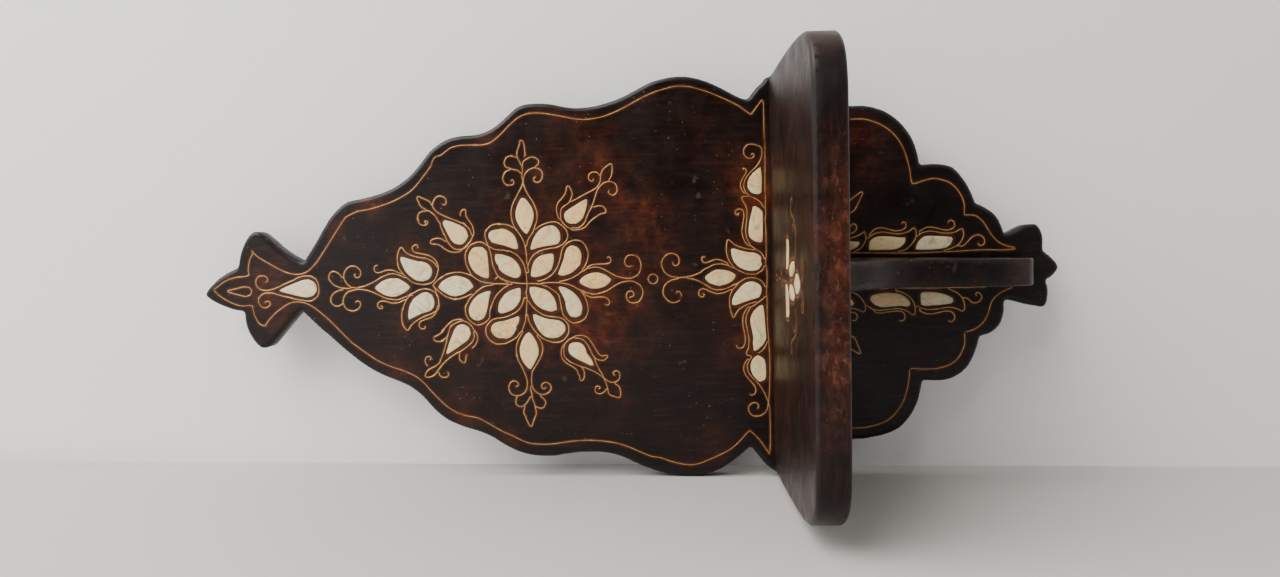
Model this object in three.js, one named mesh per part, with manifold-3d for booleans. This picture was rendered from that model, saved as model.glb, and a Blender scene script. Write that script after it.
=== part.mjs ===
// Wall-hung Quran shelf: one shaped back board, one shelf, one bracket under it,
// mother-of-pearl pieces let into the board and the shelf, brass border wires.
// Millimetres. +Z up, the front faces -Y, the wall is the plane y = 0 and the
// origin is the middle of the board's back face.
import * as THREE from 'three';
import * as BufferGeometryUtils from 'three/addons/utils/BufferGeometryUtils.js';
import Module from 'manifold-3d';

// ---- driving dimensions ----
const BOARD_T = 16;            // board thickness
const GAP = 0.3;               // clearance between touching pieces
const SHELF_TOP = -117.3;      // height of the shelf's top face
const SHELF_T = 22;            // shelf thickness
const SHELF_DEPTH = 202;       // from the board's front face
const SHELF_ROUND = 4;         // rounding of the shelf's edges
const BRACKET_T = 22;          // bracket thickness
const BRACKET_ROUND = 1.5;
const BRACKET_LEAN = 0.026;    // sideways run per unit of height
const NACRE_T = 1.8;           // thickness of a mother-of-pearl piece
const POCKET = 2.1;            // depth of its recess
const WIRE_W = 0.8;            // border wire, width and depth
const WIRE_D = 0.9;
const GROOVE_D = 1.2;
const FRONT = -BOARD_T;

// ---- shape tables: pairs x, z (board) or x, depth from the board (shelf) ----
const BOARD_OUTLINE = [-1.9,351.4,-3.3,351,-5.1,349.3,-10,341.8,-14.9,330.3,-17.4,320.8,-19.5,319.8,-29.5,318.8,-35.6,316.6,-43.3,312.1,-46.6,308.9,-47.9,306.3,-47.7,302.4,-46.1,299.3,-21.8,277.1,-18.4,273.4,-18,272.1,-18.2,271.2,-34.2,255.4,-50.2,238.2,-61,225.7,-69.8,213,-73.3,206.4,-81.2,188.5,-85.3,181.7,-92.2,173.8,-104.3,163.4,-111.4,155,-114.4,149.8,-117.7,142.5,-122.7,127.8,-125.7,121,-128.5,115.7,-135.2,105.7,-140.4,95.5,-143.6,85,-144.8,74.5,-144.8,64.5,-143.6,57.7,-142.3,44.8,-142.3,34.8,-142.9,24.3,-144.7,15.5,-147.5,7.5,-155.8,-9.6,-159.9,-20.4,-162.5,-31,-163.8,-39.9,-164.2,-49.9,-163.8,-57.9,-162.3,-64.7,-158.7,-73.5,-153.5,-82,-142.3,-96.1,-141.5,-97.9,-142,-99.1,-144.2,-101.1,-156.5,-110.6,-160.6,-115.6,-163.1,-122,-163.2,-130,-161.3,-137.2,-157.1,-145.7,-144.1,-163.4,-139.5,-172.3,-137.3,-181,-136.2,-195.4,-134.5,-205.3,-132.1,-213.4,-129.4,-219.3,-124.3,-225.4,-120.5,-228.7,-114.7,-232.6,-105.6,-236.7,-91,-240,-89.7,-240.7,-89.1,-242.4,-89.5,-256.4,-88.3,-263.3,-86.6,-267.4,-84.1,-271.7,-79,-277.2,-76.1,-279.2,-68.5,-283,-54.4,-287.7,-53.2,-289.8,-52,-294.6,-50.4,-297.7,-47.3,-301.6,-43.7,-304.3,-41,-305.6,-35.2,-307.1,-26.7,-307.5,-25,-308.3,-24.5,-309.6,-24.7,-311.6,-29.2,-328.5,-30.8,-336.3,-30.9,-338.8,-30,-340.5,-27,-342.2,-21.1,-343.1,-16.1,-343.1,-11.3,-341.7,-9.4,-341.8,-8.3,-342.6,-6.9,-345.2,-4.2,-348.2,-1,-350.6,0.8,-351.2,3.2,-350.6,6.1,-348.7,15.1,-339.4,27.5,-338.8,31.7,-337.3,35.4,-334.8,36.8,-331.7,36.1,-325.2,29.7,-310.6,29.7,-308.3,40.1,-303.9,45.1,-300.6,49.6,-295.3,52.5,-290.6,54.6,-286.1,55.9,-284.6,61.9,-282.3,71.7,-277.4,78.7,-272.5,83.8,-267.7,85.9,-263.8,87.3,-258,87.9,-250.5,87.5,-242,88.3,-240.3,89.5,-239.6,95.9,-238.5,104.5,-236,113.1,-231.8,118.7,-227.7,123.5,-223.3,127.4,-218.7,131.4,-212.4,133.9,-206.4,135.7,-200.2,136.5,-195.3,137.1,-180.8,139.3,-172.1,143.8,-163.1,156.2,-145.6,160.4,-137.1,162.5,-129.4,162.3,-121.9,161,-116.1,157.2,-113,152.1,-107.5,145.6,-102.2,144.7,-100,145.9,-95.7,157,-75,160.6,-66.8,164,-54.3,164.7,-44.8,164,-37.3,161.6,-26.1,158.8,-18.6,151.4,-3.8,147.4,5.9,144.7,15.5,142.8,24.3,142.2,29.7,142,39.2,142.7,45.2,145.2,56.4,146.3,64.3,146.6,73.3,145.9,81.2,144.6,85,143.2,87.7,129.8,103.8,125.2,112.1,122.9,120.3,122.3,132.8,121.2,139.7,119.8,144.5,117.1,150.3,112.6,157,108.1,161.6,96.9,170.9,91.9,175.8,87.2,181.6,82.6,188.7,79.3,196,76,206,71.4,228.5,69.7,232.1,67.8,235,63.5,239.8,57.1,245.5,35.7,259.2,24.5,266.9,23.2,268.2,23.1,269.6,24.2,272.4,30.8,283,35.1,288.5,43.7,297.5,47.4,302.2,48.8,306.5,48.7,308.4,48.1,309.8,45.2,313.1,41.1,316,36.7,318.3,31.1,320.6,22.4,322.6,19.6,323.7,18.5,325.3,15.1,333.1,10.3,340.7,3.5,348,-0.1,350.7];
const UPPER_BORDER = [-147.2,-113.4,-137.3,-114.1,-109.2,-114.2,-103.7,-113.4,-91.8,-114.4,-65.9,-115,-35.2,-113.6,-19,-113.8,-12.8,-113.4,-4.4,-114.1,4.7,-114.1,11.7,-113.2,17.9,-113.8,38.2,-114,45.9,-113.5,51.5,-114.2,57.1,-113.8,104.7,-114.5,138.3,-114.1,142.5,-113.7,132,-103.6,140.3,-92.1,149.2,-73.8,152.1,-66.7,155.3,-56.7,156.6,-47,155.9,-39.3,153.2,-28.5,148.1,-15.4,139.9,0.8,136.6,8.6,134,16.6,132.9,22.8,132.2,29.7,132.3,33.9,132.8,38.8,136.1,53.8,138.4,66.9,138.6,74.6,138,78.8,136.1,84,133.9,87.6,120.7,102.1,117.3,106.5,115.6,109.6,114.2,116.4,114.4,131.8,113.8,137.4,111.6,143.3,106.8,150.2,105.4,154.8,103.2,156.6,96.9,159.5,82.9,171.2,77.8,176.9,73.6,184.2,68.7,195.8,64.9,209.3,62.9,221,59,230,51.4,236.1,23.3,255.8,17.2,261.6,14.1,266.2,13,269.5,12.7,274.4,13.6,279.2,15.2,283.8,18.5,290.1,26.9,303.7,29.1,306.5,33.2,310.3,30.6,309.6,26.2,312,20.7,313.5,17.2,313.9,13,313.4,12.1,317.4,11.6,324.3,9.8,331.1,7.7,335.4,2,343.6,-0.8,341.6,-3.6,338.5,-6.8,334,-10.1,327.9,-12,322.7,-12.3,319.2,-11.9,314.4,-13.1,311.2,-19.8,310.8,-24.9,308.6,-28.1,305.9,-29.3,302,-24.7,298.8,-18.8,292.9,-11.8,282.4,-10.3,277.8,-10.2,272.9,-10.7,269.5,-12.5,264.9,-16.8,258.5,-26.2,248.2,-46,229.4,-59.1,212.2,-65.6,199.8,-71.4,184.8,-75.8,176.9,-82.1,170.3,-95.8,158.3,-100.6,153.3,-103.1,149.9,-105.7,145.7,-107.6,141.3,-111.6,126.4,-122.7,107.8,-130.6,92.2,-132.9,86.4,-134,80.2,-134.3,67.6,-132.4,50.2,-131.9,36.3,-132.9,24.4,-134.1,16.8,-135.2,12,-137.5,5.4,-146.9,-16.4,-147.9,-22.6,-150.9,-30.5,-153.4,-39.2,-154.6,-48.9,-153.9,-53.8,-152.5,-58.4,-143.5,-78.9,-138.6,-85.7,-128.5,-95.4,-126.8,-97.6,-134.9,-105.1];
const LOWER_BORDER_L = [-124,-147,-126.2,-158,-127,-170,-127,-190.8,-124.5,-203.2,-121.9,-209.7,-119.6,-213.1,-114.7,-218.2,-110.2,-221.5,-106.5,-223.5,-97.9,-226.6,-92.5,-227.9,-87,-228.9,-80,-229.3,-78.7,-232.7,-79.4,-238.3,-79.5,-249.4,-77.8,-258.4,-75.4,-264.1,-72.8,-267.4,-70.2,-269.7,-63.4,-273.2,-58,-274.5,-51,-274.5,-47.8,-282.2,-44,-288,-39,-291.8,-33.8,-294,-27.1,-295.9,-22.9,-298.4,-20.5,-300.9,-18.1,-304.4,-14.3,-313.4];
const LOWER_BORDER_R = [122.5,-147,125.2,-158,126,-170,125.4,-195.1,123,-203.1,121,-207.6,118.1,-212.4,115.6,-215.7,110,-221,105.3,-224.1,98.4,-227.3,84.9,-231,75.2,-232.3,72.5,-233.1,72.5,-235.8,74.6,-242.5,76,-250.8,74.2,-259,72.2,-263.5,67,-269.1,60.4,-273.1,54.4,-275,46,-274.9,45.4,-282,44.9,-284,43.8,-285.8,39.5,-290.3,28.8,-297,24.6,-300.7,22.4,-303.4,20.5,-307.1,18.1,-315.2];
const RING = [2.3,-17,0.9,-16.7,-0.5,-17,-2.2,-18.2,-3,-19.4,-3.2,-20.8,-2.9,-22.2,-1.6,-23.8,-0.3,-24.5,1.1,-24.7,2.4,-24.3,3.6,-23.5,4.6,-21.7,4.7,-20.3,4.2,-18.9,3.4,-17.8];
const BOARD_NACRE = {
  nacre_finial_drop: [-0.9,288.6,-1.8,286.1,-3.8,279.2,-6.2,269.8,-6.6,265.3,-5.9,262.2,-4.8,260.3,-1.7,257.8,0.7,257.5,2.2,257.7,4,258.4,6,259.9,7.8,263.1,8.2,265.8,7.5,269.8,5.2,276.6,1.1,286.7,-0.5,289],
  nacre_crown_almond: [-2.8,207.2,-6.1,202.2,-7.7,197.7,-8.1,194,-7.6,190.8,-5.5,185.8,-3.6,182.8,-1.1,180.2,-0.4,180,1.5,181.4,4.8,185.8,6.9,189.7,7.3,193.2,7,197.1,5.5,201.9,2.6,206.2,0.6,208.4,-0.8,209.2],
  nacre_crown_leaf_l: [-27.2,181.3,-23,172,-20.9,164.8,-19.4,162.6,-18.3,161.6,-16.5,160.8,-13.3,160.2,-9.5,161.2,-7.7,162.1,-5.2,165.8,-5.2,169,-5.9,171,-10,177.3,-11.3,178.4,-15.9,181,-22.9,182.5,-27.1,182.3],
  nacre_crown_leaf_r: [23.5,187,20.3,186.6,13.6,183.8,10.4,181.5,6.3,176.8,4.7,173.5,4.2,171,4.1,168.8,5.5,164.5,6.6,163.2,8.4,161.9,10.8,161.1,13,161.2,16.2,162.5,18.5,164.8,19.6,167,20.4,170.1,20.5,172.3,24.6,185.3,24.6,186.3,24.3,186.8],
  nacre_rosette_top: [-2.4,155.9,-3.8,154.5,-7.5,148.6,-9,144.4,-9.1,142.2,-7.6,135.9,-5.7,132.7,-2.1,127.8,-1.3,127.4,3.3,130.3,5.3,132.8,7,137.3,7.8,141.5,7.2,145.6,4.6,151.3,2.2,154.4,-0.3,156.1,-1.4,156.5],
  nacre_drop_upper_l: [-56.9,151.3,-56.3,150,-52.6,143.8,-46.5,134.9,-45.2,133.4,-43.6,132.4,-41.3,131.5,-38.8,131.3,-35.5,132.4,-34,134,-32.6,136.6,-32.5,139.1,-33.6,141.9,-35.3,143.6,-38.3,145.4,-46.9,149.1,-55.6,152.1,-56.9,151.9],
  nacre_drop_upper_r: [51.5,150.8,49.1,150.1,38.1,144.9,36.2,143.6,34.7,142,33.9,140.2,33.3,136.3,33.9,134.5,36.4,132,40.3,130,44.5,131.3,46.3,132.5,47.9,134.2,49.6,137.2,52.5,144,53.6,147.9,53.6,149.1,53.1,149.9],
  nacre_petal_top_l: [-5.5,115,-6.1,117.7,-7.5,121.9,-8.7,124.1,-11.2,126.9,-15.8,130.3,-19.7,131.9,-23.4,131.9,-26.7,130.7,-28.9,128.1,-29.7,125.8,-29.7,123.8,-28.3,120.5,-26.2,118.8,-23.3,117.5,-15.9,115.6,-10.7,114.6,-6.4,113.2,-5.6,113.6],
  nacre_petal_top_r: [5.9,114.4,7.8,114.1,26.2,115,28.7,116.5,30.4,118.3,31,120.4,30.8,125.1,29.2,127.8,24.9,130.3,20.2,130.6,15,129.1,10.4,126.1,7.6,122.5,5.4,117.8,5,115.2],
  nacre_petal_side_upper_l: [-27.3,92.3,-30.1,101.5,-31.2,108.4,-32.2,111.2,-33.9,113.1,-36.3,114.2,-38.8,114.2,-41.6,112.8,-43.8,110.1,-45,106.6,-44.9,104.4,-45.5,102.6,-44.8,99.3,-42,95.9,-38.1,93.3,-37.1,93.1,-35.9,93.4,-32.7,91.3,-29.1,90.3,-27.2,90.5],
  nacre_petal_side_upper_r: [30.2,89.3,33.1,89.8,37.6,91.2,39.4,92.1,41.3,93.7,43.4,96.5,45,99.8,45.4,101.5,44.9,106.5,44.1,110.1,43.3,111.9,42.7,112.6,41.1,113.3,38.4,113.3,36.8,112.5,34.4,110.4,31.3,100,28.7,93,28.4,90.5,29,89.6],
  nacre_inner_upper_l: [-3.6,90.2,-5.6,96.9,-8,101.2,-9.4,102.6,-14.5,106.2,-17.2,107.2,-21.9,107.8,-23.4,107.1,-24.1,105.8,-24.2,103.4,-21.6,96.1,-19.1,92.8,-16.7,90.9,-12.7,88.9,-5.5,88.4,-3.9,88.9],
  nacre_inner_upper_r: [23,108.8,19.6,108.6,16.8,107.6,15.4,106.3,12.6,105.7,10.8,104.4,8.4,101.6,5.1,94.6,4.7,91.2,5.3,89.6,8.8,87.7,11.4,88,16.2,90,19.6,92.9,21.4,95.2,24,101.7,24.7,106.6,24.4,108.4],
  nacre_rosette_left: [-70.7,81.9,-66.7,79.4,-61.7,76.7,-59.4,75.8,-55.1,75.4,-50.3,76.3,-46,78.2,-41.5,81.3,-40.6,83,-42,85.5,-47.2,88.9,-52.6,90.8,-55.6,91.2,-60,90.6,-64.9,88.8,-66.8,87.6,-70.2,84.8,-71.4,82.8],
  nacre_rosette_right: [41.5,80.9,45.6,78.5,52.8,75.9,57,75.6,60.4,76.3,64.8,78.5,69.1,81.8,70.2,84.2,69.8,85.3,68.5,86.5,63.1,89.1,59.4,90.3,54.7,90.5,51,89.6,44.9,86.4,42.2,84.2,40.9,82.7,40.6,81.9],
  nacre_inner_lower_l: [-3.9,81,-7.2,81.1,-11.7,79.8,-15.5,77.9,-18.8,75.2,-21.6,71.1,-23.6,66,-23.7,62.8,-22.6,58.9,-17.4,59.4,-14.5,60.3,-11,62.1,-9,63.6,-6.6,66.5,-4.8,70,-3,77.8,-3.1,80.7],
  nacre_inner_lower_r: [4.8,76.6,5.6,71.7,7.3,67,9.4,63.9,11.5,62.2,16.4,60.6,22.3,60.3,23.4,60.7,23.8,61.5,23.8,64.3,23.1,68.4,22,71.7,19.9,74.8,17.2,76.9,13.3,78.5,6.7,79.7,5.6,79.4],
  nacre_petal_side_lower_l: [-29.7,78.8,-36.4,76.2,-41.4,73.1,-44.6,69.3,-46.1,64.6,-45.5,59.1,-43.6,55.7,-41.2,53.5,-38.7,52.5,-36.3,52.7,-34.7,53.5,-33.1,55,-31.9,56.9,-31.2,58.7,-29.3,68.9,-25.8,77,-25.6,78.2,-25.9,79],
  nacre_petal_side_lower_r: [27.5,78.6,27.5,77.4,29.2,71.4,31.1,58.9,31.9,56.5,33.6,55.1,36.1,54.3,40.3,54.5,43.9,56.1,45.2,57.2,46.7,59.7,47,62.9,46.1,67.1,44.3,70.3,42.6,72.3,36.9,76.3,29.9,79,27.8,79.1],
  nacre_petal_bottom_l: [-5,57,-14.7,52.5,-22.8,51.1,-26.8,49.2,-28.3,47.9,-28.8,46.8,-29.2,43.1,-28.7,41.5,-27,39.4,-21.7,38.1,-17.3,39,-13.1,41,-8.7,44.9,-5.2,50,-3.5,54.9,-3.7,57],
  nacre_petal_bottom_r: [5.9,55.7,5.4,52.8,6.7,48,7.8,45.7,9.7,43.1,13.6,39.2,15.1,38.4,21.2,37.4,25.4,38.3,28.2,40.3,29.7,43.1,30,44.8,29.5,47,27.6,49.3,24.1,51,19,52.3,8.9,56.5,7.1,57.2,6.5,57],
  nacre_drop_lower_l: [-69,30.2,-66.3,31,-61,34.1,-59.8,35.3,-55.6,36.5,-53.4,37.5,-51.9,38.7,-50.5,40.8,-49.9,43.7,-50.2,47.6,-51.2,49.3,-52.9,50.3,-55.8,50.7,-58.7,50,-60.6,48.5,-63.3,44.9,-67.5,36.7,-69.4,32.7,-69.5,30.4],
  nacre_drop_lower_r: [67.1,33.4,64.1,39.1,58.1,49,56.3,50.2,54.1,50.6,50.7,49.7,49.6,48.9,48.2,46.3,47.8,42,48.5,39.7,51.4,36,57.2,33.2,65.2,31.2,67.5,31.4],
  nacre_rosette_bottom: [4,16.5,6,19.9,7,23,7.3,26,6.9,30,4.3,36.4,1.6,39.2,0.6,39.6,-0.6,39.4,-1.8,38.5,-4.5,33.7,-5.6,31.3,-6,25.3,-4.9,20.7,-3.8,18.2,-1.4,15.1,1.3,13.4],
  nacre_row_almond: [-0.7,-63.8,-3.3,-66.1,-5,-69.6,-6.3,-73.4,-6.4,-75.9,-4.8,-82.1,-3.2,-85.5,-2.2,-86.6,-0.5,-87.9,2.1,-88.5,3,-87.9,5.6,-83.1,6.7,-77.7,6.9,-73.4,6.2,-71,3.9,-66.9,1.4,-63.8,0.3,-63.3],
  nacre_row_leaf_l: [-22.8,-86.9,-22.4,-89.8,-20.3,-95.6,-16.9,-107.4,-14.5,-108.8,-12.6,-109.5,-9.4,-109.6,-7.2,-108.6,-5.1,-106.2,-3.8,-103,-3.7,-99.5,-5.5,-95.2,-7.6,-92.5,-13.1,-87.8,-15,-86.6,-18,-85.4,-21,-85,-22.3,-85.3],
  nacre_row_leaf_r: [18.8,-85.5,14,-86.8,10.6,-89.2,8.7,-91.2,7.2,-93.5,5.5,-97.9,5.1,-100.9,5.2,-104.4,5.9,-107,6.8,-108.2,8.3,-109.4,10.6,-110.3,12.4,-109.7,15.4,-109.8,17.4,-108.8,18.7,-107.1,19.9,-104.3,20.4,-99.9,22,-93.1,23.8,-87.6,23.6,-85.9,23.2,-85.2],
  nacre_row_mid_l: [-60.2,-105.1,-56.8,-109.1,-54,-111.2,-50.8,-112.5,-45.9,-112.4,-28.7,-111.4,-23.8,-110.6,-23.1,-110.1,-23.7,-107.6,-27.4,-103.3,-30.6,-101.1,-33.7,-100,-37.4,-99.8,-48.7,-101.7,-55.2,-101.5,-57.9,-101.9,-59.3,-101.8,-60.7,-102.1,-61.1,-102.6],
  nacre_row_mid_r: [35,-111.6,44,-111.8,52,-111.8,54.4,-110.6,56.4,-108.4,58,-105.4,57.5,-103.8,53.5,-102.8,48,-101.2,42,-100.2,36,-99.9,32.6,-100.8,30.2,-103.2,28.6,-106.4,28.2,-109.4,29.2,-111.1],
  nacre_row_end_l: [-86.2,-105.4,-86.6,-107,-85,-110.8,-83,-111.7,-74,-111.8,-69.2,-111.2,-66.2,-108.6,-64.6,-105.6,-66,-102.6,-69.2,-100.2,-73.4,-99.2,-77.6,-99.6,-81.6,-101.4],
  nacre_row_end_r: [88.8,-109.5,87.4,-107.5,83.4,-103.1,79.5,-100.5,75.9,-99.7,72.9,-100,69.9,-101.7,68.4,-103.7,67.3,-107.5,67.4,-108.7,68.2,-110.3,68.9,-110.9,70.1,-111.2,79.1,-111.6,84.3,-111.4,89.3,-110.8],
  nacre_low_bottom_r: [18.4,-236.4,18.2,-244.3,18.6,-254.3,19.2,-259.2,20.3,-261.5,21.9,-263.4,23.9,-264.7,26.4,-265.6,27.8,-264.8,28.3,-263.7,29.1,-256,29.6,-244.1,28.5,-241.3,26,-238.3,22.6,-236.2,20.6,-235.6,18.9,-235.5],
  nacre_low_bottom_l: [-26.3,-239.4,-27.4,-242,-27.2,-250,-26.8,-257,-25.8,-264,-24,-265.8,-21.5,-265,-19.3,-261,-17.6,-256.5,-16.4,-251,-15.9,-244,-16.3,-239.6,-20,-238.8],
  nacre_low_mid_l: [-21.5,-198,-24.5,-200.5,-27,-205,-27.6,-210,-27.2,-217,-27,-223,-27.6,-228.5,-26,-230.8,-22.5,-229.4,-19.5,-226.4,-17.2,-222,-16,-216,-15.8,-210,-16.4,-204.5,-17.6,-199.8,-19.2,-198.2],
  nacre_low_mid_r: [18.9,-204,19,-212,19.4,-219,20.8,-222.8,23.4,-225.8,26,-227.2,28.8,-227,29.2,-221,30,-215,30.4,-209,30.2,-204.5,28.8,-201,26.5,-198.4,23.5,-197.6,19.2,-197.4],
  nacre_low_top_l: [-20.5,-160.2,-23.5,-162.5,-25.8,-166.5,-26.6,-172,-26.2,-178,-25.6,-183.2,-24.2,-184.8,-21.4,-183.4,-18.8,-180.4,-17,-176,-16.2,-170,-16.6,-163.5,-18.2,-160.4],
  nacre_low_top_r: [19,-170,19.2,-180,20,-184.4,21.8,-187.6,24.2,-189.6,26.4,-189.8,26.8,-185,27.6,-179,28.6,-173,28.2,-168,26,-163.5,23,-161,19.4,-160.5]
};
const SHELF_NACRE = {
  nacre_shelf_bar_l: [-25.5,81.5,-2,80.3,-1.6,86.5,-5.5,92,-12,95,-22,96.3,-24.8,93,-25.8,87],
  nacre_shelf_bar_r: [9,84.8,30.5,87,31.2,92,30,97.5,20,98.5,13,96,9.5,91],
  nacre_shelf_leaf_l: [-8.5,98.6,-3.5,98.2,-0.6,103,-0.4,110,-2.5,117,-6,122,-9,122.8,-11.4,117,-12,110,-11.2,103],
  nacre_shelf_leaf_r: [5.4,99,9.5,98.8,13,103.5,15.2,110,16.2,118,15.4,123.6,12.8,124.6,9,122,6.2,116.5,4.7,109.5],
  nacre_shelf_almond: [0.8,120.5,4.4,124.5,7.4,129,8.2,134,7,139.5,4,144.2,1,147,-2.2,144,-5,139,-6,133,-4.8,127.5,-2,123.3]
};
const SHELF_OUTLINE = [-162,-10, -161,20, -160.6,60, -159.4,100, -157.6,135, -154.6,160, -149.6,177, -141,190, -129,198.4, -113,201.4, -60,202, 0,202, 60,202, 113,201.6, 131.5,199.6, 145,194, 154,184.6, 159.6,172, 162.2,155, 163.6,130, 164.1,100, 163.6,60, 162.6,20, 162,-10];
const BRACKET_PROFILE = [6,-120, -152,-120, -150,-139.6, -140,-144, -126,-150.5, -112,-157.5, -97,-167, -82,-178, -69,-190, -59,-203, -52.5,-217, -48.6,-233, -45.6,-250, -42.4,-270, -38.4,-288, -33.4,-303, -29,-312.5, -26,-317.5, -21.5,-321.6, -15.5,-323.6, -9,-324, 6,-324];

// ---- solid helpers ----
const wasm = await Module(); wasm.setup();

function toManifold(geom) {
  const g = geom.clone(); g.deleteAttribute('normal'); g.deleteAttribute('uv');
  const m = BufferGeometryUtils.mergeVertices(g, 1e-5);
  const all = m.index ? m.index.array : Array.from({ length: m.attributes.position.count }, (_, i) => i);
  const tri = []; // faces that shrink to a line at a lathe's axis are left out
  for (let i = 0; i < all.length; i += 3) if (all[i] !== all[i + 1] && all[i + 1] !== all[i + 2] && all[i] !== all[i + 2]) tri.push(all[i], all[i + 1], all[i + 2]);
  return new wasm.Manifold(new wasm.Mesh({ numProp: 3, vertProperties: new Float32Array(m.attributes.position.array), triVerts: new Uint32Array(tri) }));
}
function toGeometry(man) {
  const mesh = man.getMesh();
  const g = new THREE.BufferGeometry();
  g.setAttribute('position', new THREE.BufferAttribute(new Float32Array(mesh.vertProperties), 3));
  g.setIndex(new THREE.BufferAttribute(new Uint32Array(mesh.triVerts), 1));
  const flat = g.toNonIndexed(); flat.computeVertexNormals();
  return flat;
}
const pairs = (a) => { const p = []; for (let i = 0; i < a.length; i += 2) p.push([a[i], a[i + 1]]); return p; };
const shapeOf = (p) => new THREE.Shape(p.map(([x, y]) => new THREE.Vector2(x, y)));

// offset of a closed counter-clockwise polygon along its corner bisectors, outward positive
function offset(p, d) {
  const n = p.length, out = [];
  for (let i = 0; i < n; i++) {
    const a = p[(i + n - 1) % n], b = p[i], c = p[(i + 1) % n];
    let e1 = [b[0] - a[0], b[1] - a[1]], e2 = [c[0] - b[0], c[1] - b[1]];
    const l1 = Math.hypot(...e1), l2 = Math.hypot(...e2);
    e1 = [e1[0] / l1, e1[1] / l1]; e2 = [e2[0] / l2, e2[1] / l2];
    const n1 = [e1[1], -e1[0]], n2 = [e2[1], -e2[0]];
    let m = [n1[0] + n2[0], n1[1] + n2[1]]; const ml = Math.hypot(...m) || 1; m = [m[0] / ml, m[1] / ml];
    const k = Math.min(2.2, 1 / Math.max(0.2, m[0] * n1[0] + m[1] * n1[1]));
    out.push([b[0] + m[0] * d * k, b[1] + m[1] * d * k]);
  }
  return out;
}
// two sides of an open or closed line, as one ribbon outline
function ribbonSides(p, w, closed) {
  const n = p.length, L = [], R = [];
  for (let i = 0; i < n; i++) {
    const a = p[closed ? (i + n - 1) % n : Math.max(0, i - 1)], c = p[closed ? (i + 1) % n : Math.min(n - 1, i + 1)], b = p[i];
    const u = [b[0] - a[0], b[1] - a[1]], v = [c[0] - b[0], c[1] - b[1]];
    const lu = Math.hypot(...u) || 1, lv = Math.hypot(...v) || 1;
    const uu = lu > 1e-9 && (u[0] || u[1]) ? [u[0] / lu, u[1] / lu] : [v[0] / lv, v[1] / lv];
    const vv = (v[0] || v[1]) ? [v[0] / lv, v[1] / lv] : uu;
    let t = [uu[0] + vv[0], uu[1] + vv[1]]; const tl = Math.hypot(...t) || 1; t = [t[0] / tl, t[1] / tl];
    const nn = [-t[1], t[0]];
    const cs = Math.max(0.45, nn[0] * -uu[1] + nn[1] * uu[0]);
    const h = (w / 2) / cs;
    L.push([b[0] + nn[0] * h, b[1] + nn[1] * h]); R.push([b[0] - nn[0] * h, b[1] - nn[1] * h]);
  }
  return [L, R];
}
// prism standing on the board plane: from y0 (towards the wall) to y1 (towards the front)
function boardPrism(shape, y0, y1) {
  const g = new THREE.ExtrudeGeometry(shape, { depth: y0 - y1, bevelEnabled: false, curveSegments: 12 });
  g.rotateX(Math.PI / 2); g.translate(0, y0, 0); return g;
}
function ribbonShape(p, w, closed) {
  const [L, R] = ribbonSides(p, w, closed);
  if (!closed) return shapeOf([...L, ...R.reverse()]);
  const area = (q) => q.reduce((s, a, i) => { const b = q[(i + 1) % q.length]; return s + a[0] * b[1] - b[0] * a[1]; }, 0);
  const [outer, inner] = Math.abs(area(L)) > Math.abs(area(R)) ? [L, R] : [R, L];
  const s = shapeOf(outer); s.holes.push(new THREE.Path(inner.map(([x, y]) => new THREE.Vector2(x, y)))); return s;
}
// prism standing in the shelf's top face: shape in x, depth
function shelfPrism(p, z0, z1) {
  const g = new THREE.ExtrudeGeometry(shapeOf(p), { depth: z1 - z0, bevelEnabled: false });
  // shape y is depth from the board, which runs towards -Y
  g.scale(1, -1, 1);
  const idx = g.index; const pos = g.attributes.position;
  if (idx) { const a = idx.array; for (let i = 0; i < a.length; i += 3) { const t = a[i]; a[i] = a[i + 1]; a[i + 1] = t; } }
  else { const a = pos.array; for (let i = 0; i < a.length; i += 9) for (let k = 0; k < 3; k++) { const t = a[i + k]; a[i + k] = a[i + 3 + k]; a[i + 3 + k] = t; } }
  g.translate(0, FRONT, z0); return g;
}
function cyl(r, y0, y1, x, z, seg = 20) {
  const g = new THREE.CylinderGeometry(r, r, Math.abs(y1 - y0), seg); g.translate(x, (y0 + y1) / 2, z); return g;
}
// countersunk screw driven from the wall side, along -Y. extra widens it for its hole
function screw(rHead, rShank, len, x, z, extra, y0) {
  const e = extra, d = rHead - rShank;
  const pts = [[0, y0 - len - e], [0.35 * rShank + e, y0 - len - e], [rShank + e, y0 - len + 2.4 * rShank - e], [rShank + e, y0 - d - 0.2 - e], [rHead + e, y0 - 0.3], [rHead + e, y0 + (e ? 1 : 0)], [0, y0 + (e ? 1 : 0)]];
  const g = new THREE.LatheGeometry(pts.map(([r, y]) => new THREE.Vector2(r, y)), 20); g.translate(x, 0, z); return g;
}

const M = (slot, hex, rough, metal) => { const m = new THREE.MeshStandardMaterial({ color: hex, roughness: rough, metalness: metal }); m.name = slot; return m; };
const group = new THREE.Group();
function add(name, geom, slot, hex, rough, metal) { const m = new THREE.Mesh(geom, M(slot, hex, rough, metal)); m.name = name; group.add(m); }

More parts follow.
